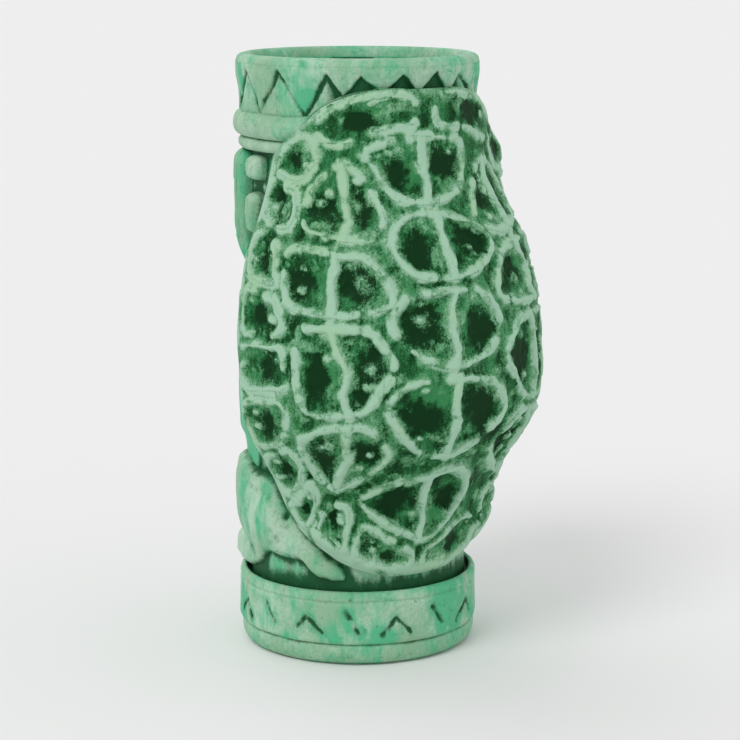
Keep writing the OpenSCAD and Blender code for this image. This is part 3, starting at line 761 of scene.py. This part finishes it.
def cup_shape(a, r, z):
    p = turned(35, a, z)
    outside = (r > CUP_R - 0.05) & (z < 187) & (z > 7)
    grain = ripple(p * [1, 1, 0.14], 2.6, 31, 3)
    tool = ripple(p, 7.0, 33, 2)
    h = np.where(outside, 0.55 * grain + 0.5 * tool, 0)
    relief = 0.8 + 0.75 * grain
    # shadowed line where the collar meets the wall, and under the beads
    relief = relief - 0.75 * np.where(outside, fade(z, 24.5, 31), 0)
    relief = relief - 0.55 * np.where(outside, smooth(z, 157.5, 160.5), 0)
    flat = np.stack([a * math.radians(CUP_R), z], -1)
    gouge = np.zeros_like(r)
    here = outside & (a > 115) & (a < 245) & (z < 125)
    gouge[here] = fade(np.min([to_segments(flat[here], np.array(line) * [math.radians(CUP_R), 1], False)
                               for line in WALL_CUTS], 0), 0.3, 1.3)
    navel = np.hypot((a - 180) * math.radians(CUP_R), z - 72)
    gouge = np.maximum(gouge, np.where(outside, bump(navel - 2.4, 1.1), 0))
    h = h - 0.8 * gouge
    relief = relief - 0.6 * gouge
    # painted shade on the wall round the raised pieces, where they meet it
    beside = near_pads(signed(a), z)
    relief = relief - 0.7 * np.where(outside, fade(beside + 1.5 * grain, 0.0, 3.6), 0)
    lip = (z > 186.5)
    h = h + np.where(lip, 0.25 * ripple(p, 9.0, 35, 2), 0)
    inner = (r < CUP_R - 0.05) & (z > 8.9) & (z < 186.7)
    dark_ring = np.where(inner, smooth(z, 182.8, 183.8) * fade(z, 186.0, 186.7), 0)
    patchy = smooth(fbm(p * [1, 1, 3], 12.0, 37, 3), 0.36, 0.54)
    # the inside darkens towards the bottom: painted shade deep in the cup
    relief = np.where(inner, 0.74 - 0.75 * dark_ring * patchy - 0.5 * fade(z, 9, 60), relief)
    relief = np.where(lip, 0.9, relief)
    mint = np.where(inner, 0.5, 0.15)
    return r + h, {"relief": relief, "mint": mint}


lip = [[38.5, 187.2], [38.4, 188.1], [38.0, 189.0], [37.2, 189.6], [36.0, 189.95], [35.2, 189.95],
       [34.4, 189.5], [33.8, 188.7], [33.3, 187.6], [32.9, 186], [32.1, 183.5], [31.5, 181]]
cup_profile = (dense([[27.6, 3], [27.6, 7], [CUP_R, 7]], 3) + dense([[CUP_R, 7.5], [CUP_R, 187.1]], 0.9)
               + dense(lip, 0.35) + dense([[31.5, 180], [31.5, 13], [31, 10.6], [29, 9.2], [27, 9]], 1.5)
               + dense([[22, 9], [0.02, 9]], 4) + dense([[0.02, 3], [24, 3]], 4))
# The fringe round the rim: teeth hang down from the band between sunk peaks.
TOOTH_HIGH = 186.0
TOOTH_LOW = 173.2
SMALL_LOW = 178.5


def fringe():
    """Turning points [degrees, height] of the zigzag: wide teeth round the cup, small ones over the shell."""
    small = [[a, TOOTH_HIGH - 0.8 if k % 2 else SMALL_LOW] for k, a in enumerate(range(-45, 46, 9), 1)]
    wide = [[a, TOOTH_HIGH if k % 2 else TOOTH_LOW] for k, a in enumerate(range(54, 307, 14))]
    turns = np.array(small + wide)
    return turns + np.random.default_rng(41).uniform(-1, 1, turns.shape) * [1.6, 0.5]


def band_shape(a, r, z):
    p = turned(37, a, z)
    s = signed(a)
    k = math.radians(38)
    outside = (r > 36) & (z < 187.1)
    turns = fringe()
    order = np.concatenate([turns - [360, 0], turns, turns + [360, 0]])
    edge = np.interp(s, order[:, 0], order[:, 1])
    flat = np.stack([s * k, z], -1)
    line = order[(order[:, 0] > -230) & (order[:, 0] < 230)] * [k, 1]
    dist = to_segments(flat, line, False)
    above = np.where(z > edge, dist, -dist)
    # depth of the sunk layer, and the cut along its edge
    sunk = fade(above, -0.9, 0.5)
    ragged = above + 0.9 * ripple(p, 2.4, 53, 3)
    cut = bump(ragged + 0.3, 1.25) * (0.35 + 0.65 * smooth(fbm(p, 9.0, 41, 2), 0.4, 0.55))
    behind = smooth(38 - np.abs(s - 8), 0, 8)
    depth = 0.45 + 0.9 * behind
    grain = ripple(p * [1, 1, 0.2], 3.0, 43, 3)
    pillow = 0.7 * smooth(above, 0.5, 4.5) + 0.5 * smooth(-above, 0.5, 4)
    h = -depth * sunk - 0.7 * cut * (1 - 0.5 * behind) + 0.35 * grain + 0.5 * ripple(p, 8.0, 45, 2)
    h = h + 0.6 * (pillow - 0.6) * smooth(z, 172.6, 175) * fade(z, 184.5, 186.5)
    # small holes left by bubbles in the casting
    pit = smooth(noise(p, 1.6, 47), 0.86, 0.95) * smooth(noise(p, 14.0, 49), 0.5, 0.7)
    h = h - 0.4 * pit
    # Colour: the cut along the teeth and a soft smear round it are painted shadow, the bubble holes are
    # painted dark as shade, and the sunk layer is darker, most of all at the back.
    smear_and_shade = bump(ragged, 3.4) * smooth(fbm(p * [1, 1, 0.6], 4.0, 55, 3), 0.42, 0.6)
    relief = 0.92 + 0.5 * grain - 0.62 * cut - 0.5 * pit - (0.12 + 0.7 * behind) * sunk - 0.22 * smear_and_shade
    mint = 0.08 + 0.6 * smooth(fbm(p * [1, 1, 0.5], 8.0, 51, 2), 0.55, 0.68) * (1 - sunk)
    h = np.where(outside, h, 0) + 0.55 * smooth(z, 178, 186) * (r > 37)
    return r + h, {"relief": relief, "mint": mint}


band_profile = (dense([[34.2, 171.8], [37.3, 171.8]], 1.5)
                + dense([[37.8, 172.3], [38.05, 173], [38.05, 187.3]], 0.22)
                + dense([[36.5, 187.6], [34.2, 187.6]], 1.2))
lathe("rim_band", "body_glaze", band_profile, band_shape, CLAY, 900)


def ring_profile(r0, r1, z0, z1, n=40, power=0.8):
    t = np.linspace(-math.pi / 2, math.pi / 2, n)
    body = [[r0 + (r1 - r0) * abs(math.cos(s)) ** power, (z0 + z1 + (z1 - z0) * math.sin(s)) / 2] for s in t]
    return [[r0 - 0.6, z0]] + body + [[r0 - 0.6, z1]]


def bead_shape(seed, lumpy):
    def shape(a, r, z):
        p = turned(38, a, z)
        lump = ripple(p, 9.0, seed, 2)
        grain = ripple(p * [1, 1, 0.4], 2.6, seed + 3, 3)
        out = smooth(r, 35, 37)
        h = (lumpy * lump + 0.3 * grain) * out
        # darker towards the wall, where the bead meets it: painted shade
        relief = 0.9 * smooth(r, 35.6, 37.6) + 0.4 * grain
        return r + h, {"relief": relief, "mint": 0.4 * lump - 0.05}
    return shape


lathe("rim_bead", "mint_wash", ring_profile(35.2, 39.4, 164.2, 172.6), bead_shape(61, 1.7), WASH, 420)
lathe("rim_thin_bead", "body_glaze", ring_profile(35.0, 38.2, 160.2, 164.4), bead_shape(67, 1.2), CLAY, 420)


def collar_cuts():
    """Chevrons and slashes by turns round the collar, each a stroke of [degrees, height] points."""
    rng = np.random.default_rng(43)
    out = []
    for k, a in enumerate(range(-165, 166, 22)):
        slash, chevron = [[a + 3, 17.2], [a - 3, 11.2]], [[a - 7, 10.8], [a, 16], [a + 7, 10.8]]
        stroke = np.array(slash if k % 2 else chevron)
        out.append(stroke + rng.uniform(-1, 1, stroke.shape) * [1.5, 0.8])
    return out


def collar_shape(a, r, z):
    p = turned(38, a, z)
    s = signed(a)
    k = math.radians(38.4)
    outside = (r > 37.5) & (z < 22.6)
    cuts = np.zeros_like(r)
    smear_and_shade = np.zeros_like(r)
    flat = np.stack([s * k, z], -1)
    for stroke in collar_cuts():
        d = to_segments(flat, stroke * [k, 1], False) + 1.0 * ripple(p, 2.4, 73, 3)
        cuts = np.maximum(cuts, fade(d, 0.1, 1.15))
        smear_and_shade = np.maximum(smear_and_shade, fade(d, 0.4, 3.4))
    ring_cut = bump(z - 20.6 - 0.5 * ripple(p, 14, 71, 2), 0.8)
    grain = ripple(p * [1, 1, 0.3], 3.0, 75, 3)
    lump = ripple(p, 9.0, 77, 2)
    h = np.where(r > 36.5, -0.6 * cuts - 0.45 * ring_cut + 0.35 * grain + 0.9 * lump, 0)
    h = np.where(outside, h, h * 0.6)
    blot = smooth(fbm(p * [1, 1, 0.7], 3.2, 81, 3), 0.4, 0.62)
    broken = smooth(fbm(p, 6.0, 85, 2), 0.4, 0.56)
    # round each cut the smear is painted darker as shade in its blotches, and adds a mint wash
    relief = 0.92 + 0.5 * grain - (0.4 + 0.3 * broken) * cuts - 0.22 * ring_cut * broken - 0.34 * smear_and_shade * blot
    # darker along the collar's foot, where it meets the base foot: painted shade
    relief = relief - 0.16 * bump(z - 7.2, 0.8) * broken
    ledge = (r < 36.8) & (z < 23.6)
    relief = np.where(ledge, 0.1, relief)
    mint = 0.05 + 0.5 * smooth(fbm(p * [1, 1, 0.35], 9.0, 79, 2), 0.5, 0.68) + 0.35 * smear_and_shade * (1 - cuts)
    mint = mint + 0.15 * smooth(z, 21, 23.5)
    return r + h, {"relief": relief, "mint": mint}


collar_profile = (dense([[34.3, 6.9], [37.4, 6.9]], 1.5)
                  + dense([[38.1, 7.3], [38.4, 8.2], [38.4, 21.8]], 0.25)
                  + dense([[38.3, 22.6], [38.0, 23.3], [37.5, 23.8], [36.9, 24], [36.4, 23.7], [36.1, 23],
                           [36.0, 21.7]], 0.25) + dense([[35.2, 21.4], [34.3, 21.4]], 0.5))
lathe("base_collar", "body_glaze", collar_profile, collar_shape, CLAY, 720)


def foot_shape(a, r, z):
    p = turned(38, a, z)
    grain = ripple(p, 3.5, 81, 3)
    lump = ripple(p, 10.0, 83, 2)
    side = smooth(z, 0.3, 1.5) * (r > 34)
    # the top of the foot, under the collar, is painted darker as shade
    relief = 0.86 + 0.5 * grain - 0.3 * smooth(z, 5.6, 6.9) * (r > 34)
    return r + side * (0.35 * grain + 0.8 * lump), {"relief": relief, "mint": 0.2 + 0.4 * lump}


foot_profile = (dense([[28, 1], [29, 0], [34.6, 0]], 1.5)
                + dense([[35.2, 0.1], [36.3, 0.6], [37.1, 1.5], [37.6, 2.8], [37.8, 4.2], [37.8, 5.6],
                         [37.6, 6.4], [37.0, 6.9]], 0.25)
                + dense([[34, 6.9], [28, 6.9]], 2))
lathe("base_foot", "body_glaze", foot_profile, foot_shape, CLAY, 480)


# ---------------------------------------------------------------- head, arms and legs
def mirrored(points):
    return [[-a, z] for a, z in points]


def rounded_top(d, height, width):
    t = np.clip(d / width, 0, 1)
    return height * np.sqrt(np.clip(1 - (1 - t) ** 2, 0, 1))


def carve(name, slot, outline, centre, relief, material, n=200, rings=56, side=1, passes=2):
    """A pad on the cup; side -1 makes the mirrored one, with the same relief turned over."""
    if side < 0:
        outline, centre = mirrored(outline), [-centre[0], centre[1]]
        base = relief

        def relief(a, z, u, v, d):
            return base(-a, z, -u, v, d)
    obj = pad(name, "cup", outline, centre, relief, material, n, rings, low=-0.6, passes=passes)
    stand_for(obj, slot, name)


K = math.radians(1) * (CUP_R + 2)


def lines_distance(a, z, lines):
    flat = np.stack([a * K, z], -1)
    return np.min([to_segments(flat, np.array(line, float) * [K, 1], False) for line in lines], 0)


def grain_at(a, z, seed, size=3.0, stretch=0.3):
    return ripple(on_cup(a, z) * [1, 1, stretch], size, seed, 3)


EAR = [[99, 157.5], [103, 160], [111, 161.2], [119, 158.5], [124, 151], [124, 141], [119, 132],
       [112, 125.5], [103, 123], [99.5, 125], [102, 133], [101.5, 149]]


def ear_relief(a, z, u, v, d):
    grain = grain_at(a, z, 201)
    h = rounded_top(d, 4.6, 3.6) * (0.5 + 0.5 * smooth(z, 123, 137))
    folds = lines_distance(a, z, [[[106, 155], [107.5, 146], [106, 136], [104, 127]],
                                  [[112, 156], [115, 149], [114, 140], [109, 131]]])
    cup_line = lines_distance(a, z, [[[118.5, 150], [118, 142], [113.5, 134]]])
    cut = fade(folds, 0.3, 1.4)
    cut = np.maximum(cut, 0.8 * fade(cup_line, 0.3, 1.5))
    h = h - 1.5 * cut * smooth(d, 0.5, 2) + 0.5 * grain
    # darker towards its edge, where it meets the wall: painted shade
    return h, {"relief": 0.5 + 0.42 * smooth(d, 0.1, 1.2) - 0.4 * cut + 0.5 * grain, "mint": 0.4 - 0.2 * cut}


HAIR_UP = [[83.5, 159], [92, 159.6], [96.8, 158.2], [97.3, 154], [95.5, 151.4], [84, 151.3], [83, 155]]
HAIR_LOW = [[85.5, 147.2], [93, 148], [98, 146.4], [99.7, 141], [97.5, 135.2], [91, 134.2], [89, 137.5],
            [86.5, 143]]


def block_relief(a, z, u, v, d):
    grain = grain_at(a, z, 211, 2.6)
    h = rounded_top(d, 3.7, 1.9) + 0.7 * grain
    # darker towards the edge, where the block meets the wall: painted shade
    return h, {"relief": 0.4 + 0.55 * smooth(d, 0.0, 0.9) + 0.5 * grain, "mint": 0.02 + 0.02 * u}


BROW = [[212, 151], [202, 156.2], [190, 154], [180, 150.6], [170, 154], [158, 156.2], [148, 151],
        [134, 148], [131, 143], [140, 142], [156, 145.6], [170, 146], [175, 141.6], [185, 141.6],
        [190, 146], [204, 145.6], [220, 142], [229, 143], [226, 148]]


def brow_relief(a, z, u, v, d):
    grain = grain_at(a, z, 221)
    s = np.abs(a - 180)
    h = rounded_top(d, 6.2 - 2.2 * smooth(s, 20, 46), 3.2)
    cuts = [[[180 + side * k, 157.5], [180 + side * (k - 3.5), 140]]
            for side in (-1, 1) for k in (13, 22, 31, 40)]
    cut = fade(lines_distance(a, z, cuts), 0.25, 0.95)
    h = h - 0.8 * cut * smooth(d, 0.2, 1.5) + 0.5 * grain
    # darker towards its edge, where it meets the wall: painted shade
    return h, {"relief": 0.9 * smooth(d, 0.1, 1.3) - 0.5 * cut + 0.5 * grain, "mint": 0.2 + 0.0 * d}


EYE = [[138.5, 129], [142, 134.5], [149, 138.3], [158, 138.6], [165.5, 134.5], [167.5, 129.5],
       [163, 124], [155, 121.2], [146, 121.8], [140.5, 124.8]]


def eye_relief(a, z, u, v, d):
    grain = grain_at(a, z, 231, 2.5, 1.0)
    lid = bump(d - 1.5, 1.5)
    ball = smooth(d, 2.9, 4.6)
    slit = fade(np.abs(v + 0.15 * np.cos(u / 4)), 0.5, 1.05)
    slit = slit * fade(np.abs(u), 5.6, 7.4)
    h = 3.0 * smooth(d, 0, 1.3) + 0.9 * lid - 1.1 * bump(d - 3.2, 0.9) + 2.3 * ball * smooth(d, 2.8, 7.5)
    h = h - 1.3 * slit * ball + 0.3 * grain
    # darker towards its outer edge, where it meets the wall: painted shade
    tone = 0.93 * smooth(d, 0.1, 1.1) - 0.75 * bump(d - 3.15, 0.8) - 0.8 * slit * ball + 0.35 * grain
    return h, {"relief": tone, "mint": 0.55 * lid + 0.05}


NOSE = [[173.6, 141], [186.4, 141], [188.5, 133], [192, 124], [201, 115.5], [202, 109.5], [196, 106.4],
        [187, 105.8], [180, 106.6], [173, 105.8], [164, 106.4], [158, 109.5], [159, 115.5], [168, 124],
        [171.5, 133]]


def nose_relief(a, z, u, v, d):
    grain = grain_at(a, z, 241)
    s = np.abs(a - 180) * K
    tip = curve(z, [[104, 8], [108, 10.5], [112, 11.6], [118, 10], [126, 7.4], [134, 6], [141, 5]])
    broad = curve(z, [[104, 6.5], [112, 6.6], [120, 5.4], [130, 4.6], [141, 4.6]])
    bridge = tip * np.exp(-(s / broad) ** 2.4)
    wing = 7.6 * np.exp(-(((s - 9.2) / 4.6) ** 2 + ((z - 110.8) / 4.4) ** 2))
    h = np.maximum(bridge, wing) + 0.35 * np.minimum(bridge, wing)
    h = np.maximum(h, 1.4) * smooth(d, -0.3, 2.2)
    hole = np.exp(-(((s - 6.6) / 1.9) ** 2 + ((z - 107.6) / 1.2) ** 2) * 1.2)
    crease = bump(np.hypot(s - 9.2, z - 111.5) - 5.3, 0.7) * smooth(s, 5, 7.5) * smooth(z, 108, 112)
    h = h - 2.2 * hole - 0.6 * crease + 0.5 * grain
    # darker towards its edge, where it meets the wall: painted shade
    tone = 0.9 * smooth(d, 0.1, 1.3) - 0.85 * hole - 0.5 * crease + 0.5 * grain
    return h, {"relief": tone, "mint": 0.1 + 0.4 * bump(s, 3.0)}


MOUTH_OUT = [[139, 95], [146, 102.5], [163, 105], [180, 104.2], [197, 105], [214, 102.5], [221, 95],
             [214, 86.8], [197, 84.2], [180, 85], [163, 84.2], [146, 86.8]]
MOUTH_IN = [[145.5, 95], [151, 99.6], [165, 101.4], [180, 100.8], [195, 101.4], [209, 99.6], [214.5, 95],
            [209, 89.8], [195, 87.9], [180, 88.4], [165, 87.9], [151, 89.8]]


def make_lips():
    """The lips are a closed ring between two outlines."""
    n, m = 360, 26
    outer, inner = [resample(rounded(np.array(line, float) * [K, 1]), n) for line in (MOUTH_OUT, MOUTH_IN)]
    t = np.linspace(0, 1, m)
    flat = outer[None] + t[:, None, None] * (inner - outer)[None]
    d_out, d_in = to_segments(flat, outer, True), to_segments(flat, inner, True)
    d = np.minimum(d_out, d_in)
    a, z = flat[..., 0] / K, flat[..., 1]
    grain = grain_at(a, z, 251)
    nicks = 0.35 * np.abs(np.sin(a * K * 1.15)) ** 6
    h = rounded_top(d, 4.9, 1.9) + 0.4 * grain - nicks * smooth(d, 0.3, 1.2)
    # darker at both edges, against the wall and against the teeth: painted shade
    tone = 0.94 * smooth(d_out, 0.1, 1.0) * smooth(d_in, 0.0, 0.7) + 0.45 * grain - nicks
    top = on_cup(a, z, h)
    base = on_cup(a[[-1, 0]], z[[-1, 0]], -0.6)
    loop = np.concatenate([top, base], 0)
    tones = {"relief": np.concatenate([tone.reshape(-1), np.zeros(2 * n)]), "mint": 0.25}
    return make_mesh("lips", loop.reshape(-1, 3), grid_faces(m + 2, n, True), [], tones, CLAY)


stand_for(make_lips(), "body_glaze", "lips")


def teeth_relief(count):
    def relief(a, z, u, v, d):
        grain = grain_at(a, z, 261, 2.5)
        span = 69.0 / count
        t = ((a - 145.5) / span) % 1.0
        gap = fade(np.minimum(t, 1 - t) * span * K, 0.15, 0.75)
        h = rounded_top(d, 2.8, 1.3) + 0.3 * grain - 1.3 * gap * smooth(d, 0.1, 0.6)
        # darker towards the edge, where the teeth meet the lips: painted shade
        return h, {"relief": 0.95 * smooth(d, 0.0, 0.8) - 0.8 * gap + 0.35 * grain, "mint": -0.3 + 0.0 * d}
    return relief


UPPER = [[145.5, 95.4], [151, 99.7], [165, 101.5], [180, 100.9], [195, 101.5], [209, 99.7], [214.5, 95.4],
         [197, 95], [180, 95.2], [163, 95]]
LOWER = [[145.5, 94.7], [163, 94.3], [180, 94.5], [197, 94.3], [214.5, 94.7], [209, 89.7], [195, 87.8],
         [180, 88.3], [165, 87.8], [151, 89.7]]
carve("teeth_upper", "bare_bisque", UPPER, [180, 98], teeth_relief(8), BISQUE, 260, 22, passes=1)
carve("teeth_lower", "bare_bisque", LOWER, [180, 91.3], teeth_relief(7), BISQUE, 260, 22, passes=1)
carve("brow", "body_glaze", BROW, [180, 146.5], brow_relief, CLAY, 300, 44)
carve("nose", "body_glaze", NOSE, [180, 114], nose_relief, CLAY, 240, 70)

ARM = [[104, 116], [112, 118], [119, 112], [122, 100], [125, 90], [133, 82.5], [146, 79.5], [158, 79.5],
       [165, 77], [166.5, 71.5], [162, 66], [148, 64], [134, 64.5], [122, 63], [113, 58.5], [104, 56.6],
       [95, 57], [91, 61], [92.5, 69], [98, 77], [100, 88], [101, 102]]


def arm_relief(a, z, u, v, d):
    grain = grain_at(a, z, 271, 3.2)
    outward = smooth(a, 120, 138)
    h = rounded_top(d, 3.5 + 1.9 * outward - 2.3 * fade(z, 62, 80) * (1 - outward), 4.6)
    hand = smooth(a, 144, 150)
    fingers = [[[150, z0], [164, z0 + 0.6]] for z0 in (67.6, 71.2, 74.8)]
    wrist = [[[146, 80], [144.5, 72], [146, 64]]]
    cut = fade(lines_distance(a, z, fingers), 0.25, 0.95) * smooth(a, 148, 152)
    band = fade(lines_distance(a, z, wrist), 0.3, 1.0)
    elbow = lines_distance(a, z, [[[102, 79], [112, 84], [121, 93]], [[100, 99], [123, 96.5]],
                                  [[100, 95], [124, 92.5]]])
    fold = 0.6 * fade(elbow, 0.3, 1.3)
    h = h * (1 - 0.1 * hand) - 1.2 * cut - 1.0 * band - 0.8 * fold + 0.6 * grain
    # darker towards its edge, where it meets the wall: painted shade
    tone = 0.3 + 0.62 * smooth(d, 0.1, 1.8) - 0.7 * cut - 0.6 * band - 0.45 * fold + 0.5 * grain
    return np.maximum(h, -0.3), {"relief": tone, "mint": 0.1 + 0.45 * fade(z, 66, 90) * (1 - hand)}


LEG = [[36, 27.2], [37, 31], [43, 34.5], [53, 39.5], [62, 45], [69.5, 51], [76, 55.5], [83, 58.5], [92, 59],
       [103, 62.3], [116, 63], [130, 59.5], [142, 52], [149, 44], [156, 36], [163, 31], [165, 26.8],
       [152, 24.9], [140, 24.8], [127, 24.8], [114, 25], [101, 25.7], [97, 26.8], [92, 27.6], [87, 30],
       [81.5, 33.4], [74, 32.6], [66, 32.4], [58, 32.6], [53.5, 29.2], [47.5, 27], [41, 26.6]]
# The far leg has no heel beside the shell.
FAR_LEG = [[60, 34], [60, 42]] + LEG[4:-4]


def leg_relief(a, z, u, v, d):
    grain = grain_at(a, z, 281, 3.4, 0.4)
    # thigh, shin, heel and foot are swellings that run together
    thigh = 4.9 * np.exp(-(np.abs((a - 110) / 33) ** 3.2 + np.abs((z - 49) / 16) ** 3.4))
    shin = 4.6 * np.exp(-(np.abs((a - 84) / 20) ** 2.8 + np.abs((z - 43) / 11.5) ** 2.8))
    heel = 4.0 * np.exp(-(np.abs((a - 50) / 13) ** 3 + np.abs((z - 31.5) / 5.4) ** 3))
    back = 2.8 * np.exp(-(np.abs((a - 68) / 18) ** 2.6 + np.abs((z - 39) / 7) ** 2.6))
    foot = np.exp(-(np.abs((a - 132) / 35) ** 4 + np.abs((z - 28.8) / 6.4) ** 4))
    foot = (3.6 + 2 * smooth(a, 116, 132)) * foot
    h = np.maximum(np.maximum(thigh, heel), np.maximum(np.maximum(back, shin), foot))
    h = np.maximum(h, 1.6)
    low = np.minimum(h, 3.6) / 3.6
    ankle = lines_distance(a, z, [[[97, 30], [104, 34.5], [116, 37], [134, 37.5], [152, 34.5]]])
    cut = fade(ankle, 0.4, 2.0)
    toes = [[[k, 24], [k - 1, 31.5]] for k in (142, 149, 156)]
    toe_cut = fade(lines_distance(a, z, toes), 0.3, 1.0)
    folds = [[[86, 52.5], [93, 53.6], [100, 56]], [[70, 40], [76, 36.5]]]
    fold = fade(lines_distance(a, z, folds), 0.4, 1.8)
    h = rounded_top(d, 1.0, 2.6) * h - 0.9 * cut * low - 0.9 * toe_cut - 0.5 * fold + 0.7 * grain
    pits = np.exp(-((a - 67.8) ** 2 / 1.6 + (z - 46.4) ** 2 / 1.4)) + 0.8 * np.exp(
        -((a - 68.6) ** 2 / 0.9 + (z - 50.9) ** 2 / 0.9))
    h = h - 1.2 * pits
    blot = smooth(fbm(on_cup(a, z), 4.0, 287, 3), 0.46, 0.62)
    # darker towards its edge, where it meets the wall: painted shade
    tone = (0.35 + 0.6 * smooth(d, 0.0, 2.2) - 0.3 * cut - 0.6 * toe_cut - 0.2 * fold - 0.9 * pits
            + 0.5 * grain - 0.16 * blot)
    mint = 0.45 * smooth(fbm(on_cup(a, z) * [1, 1, 0.3], 6.0, 285, 2), 0.42, 0.62) - 0.25
    return np.maximum(h, -0.4), {"relief": tone, "mint": mint}


for side, word in ((1, "left"), (-1, "right")):
    carve(f"ear_{word}", "mint_wash", EAR, [111, 144], ear_relief, WASH, 200, 50, side)
    carve(f"hair_{word}_upper", "body_glaze", HAIR_UP, [90, 155.4], block_relief, CLAY, 120, 26, side)
    carve(f"hair_{word}_lower", "body_glaze", HAIR_LOW, [93.5, 141], block_relief, CLAY, 120, 26, side)
    carve(f"eye_{word}", "bare_bisque", EYE, [153, 130], eye_relief, BISQUE, 180, 50, side)
    carve(f"arm_{word}", "mint_wash", ARM, [113, 80], arm_relief, WASH, 300, 70, side)
carve("leg_left", "mint_wash", LEG, [66, 44], leg_relief, WASH, 340, 80, 1)
carve("leg_right", "mint_wash", FAR_LEG, [72, 44], leg_relief, WASH, 340, 80, -1)


PADS = [EAR, HAIR_UP, HAIR_LOW, ARM, FAR_LEG, EYE]
PADS = PADS + [mirrored(pad_line) for pad_line in PADS]
PADS.append(LEG)
for whole in (BROW, NOSE, MOUTH_OUT):
    PADS += [whole, [[a - 360, z] for a, z in whole]]


def near_pads(a, z):
    """How far the wall is from the nearest raised piece, in millimetres."""
    flat = np.stack([a * K, z], -1)
    out = np.full(a.shape, 9.0)
    for line in PADS:
        line = np.array(line, float) * [K, 1]
        lo, hi = line.min(0) - 6, line.max(0) + 6
        here = np.all((flat > lo) & (flat < hi), axis=-1)
        if here.any():
            out[here] = np.minimum(out[here], to_segments(flat[here], line, True))
    return out


lathe("cup_wall", "body_glaze", cup_profile, cup_shape, CLAY, 420)


# ---------------------------------------------------------------- stage, light and camera
FLOOR_HALF, FLOOR_Z = 30.0, -0.0002
floor_mesh = bpy.data.meshes.new("floor")
corners = [(x * FLOOR_HALF, y * FLOOR_HALF, FLOOR_Z) for x, y in ((-1, -1), (1, -1), (1, 1), (-1, 1))]
floor_mesh.from_pydata(corners, [], [(0, 1, 2, 3)])
floor_mesh.materials.append(Nodes("studio_floor").shade(
    Base_Color=(0.86, 0.86, 0.86, 1), Roughness=1.0, Specular_IOR_Level=0.0))
floor = put("floor", floor_mesh)

world = bpy.data.worlds.new("studio")
bpy.context.scene.world = world
world.use_nodes = True
sky = world.node_tree.nodes["Background"]
sky.inputs["Color"].default_value = (1.0, 1.0, 1.0, 1)
# brighter towards the horizon, so that the floor runs into it without a line
heading = world.node_tree.nodes.new("ShaderNodeTexCoord")
split = world.node_tree.nodes.new("ShaderNodeSeparateXYZ")
fade = world.node_tree.nodes.new("ShaderNodeMapRange")
fade.interpolation_type = "SMOOTHSTEP"
for name, value in (("From Min", 0.0), ("From Max", 0.5), ("To Min", 0.88), ("To Max", 0.66)):
    fade.inputs[name].default_value = value
world.node_tree.links.new(heading.outputs["Generated"], split.inputs[0])
world.node_tree.links.new(split.outputs["Z"], fade.inputs["Value"])
world.node_tree.links.new(fade.outputs["Result"], sky.inputs["Strength"])


def soft_light(name, away, strength, spread):
    """A broad sun-like light shining from that direction."""
    data = bpy.data.lights.new(name, "SUN")
    data.energy = strength
    data.angle = math.radians(spread)
    obj = put(name, data)
    obj.rotation_euler = Vector(away).to_track_quat("Z", "Y").to_euler()


soft_light("key", (1.0, 0.5, 1.2), 0.88, 25)
soft_light("fill", (-0.9, 0.6, 0.9), 0.15, 80)
soft_light("face_fill", (0.1, -1.0, 0.9), 0.4, 60)

# The camera stands a little higher than the rim, behind the mug and to its left, and looks down a little.
SENSOR_MM = 36.0
LENS_MM = 114.665
CAMERA_AWAY, CAMERA_UP = 0.749, 0.232
AZIMUTH, PITCH, TURN = math.radians(150), math.radians(10.9), math.radians(0.30386)

cam_data = bpy.data.cameras.new("camera")
cam_data.lens = LENS_MM
cam_data.sensor_width = SENSOR_MM
camera = put("camera", cam_data)
camera.location = (math.sin(AZIMUTH) * CAMERA_AWAY, -math.cos(AZIMUTH) * CAMERA_AWAY, CAMERA_UP)
camera.rotation_euler = (math.pi / 2 - PITCH, 0, AZIMUTH - TURN)
bpy.context.scene.camera = camera
bpy.context.scene.view_settings.view_transform = "Standard"
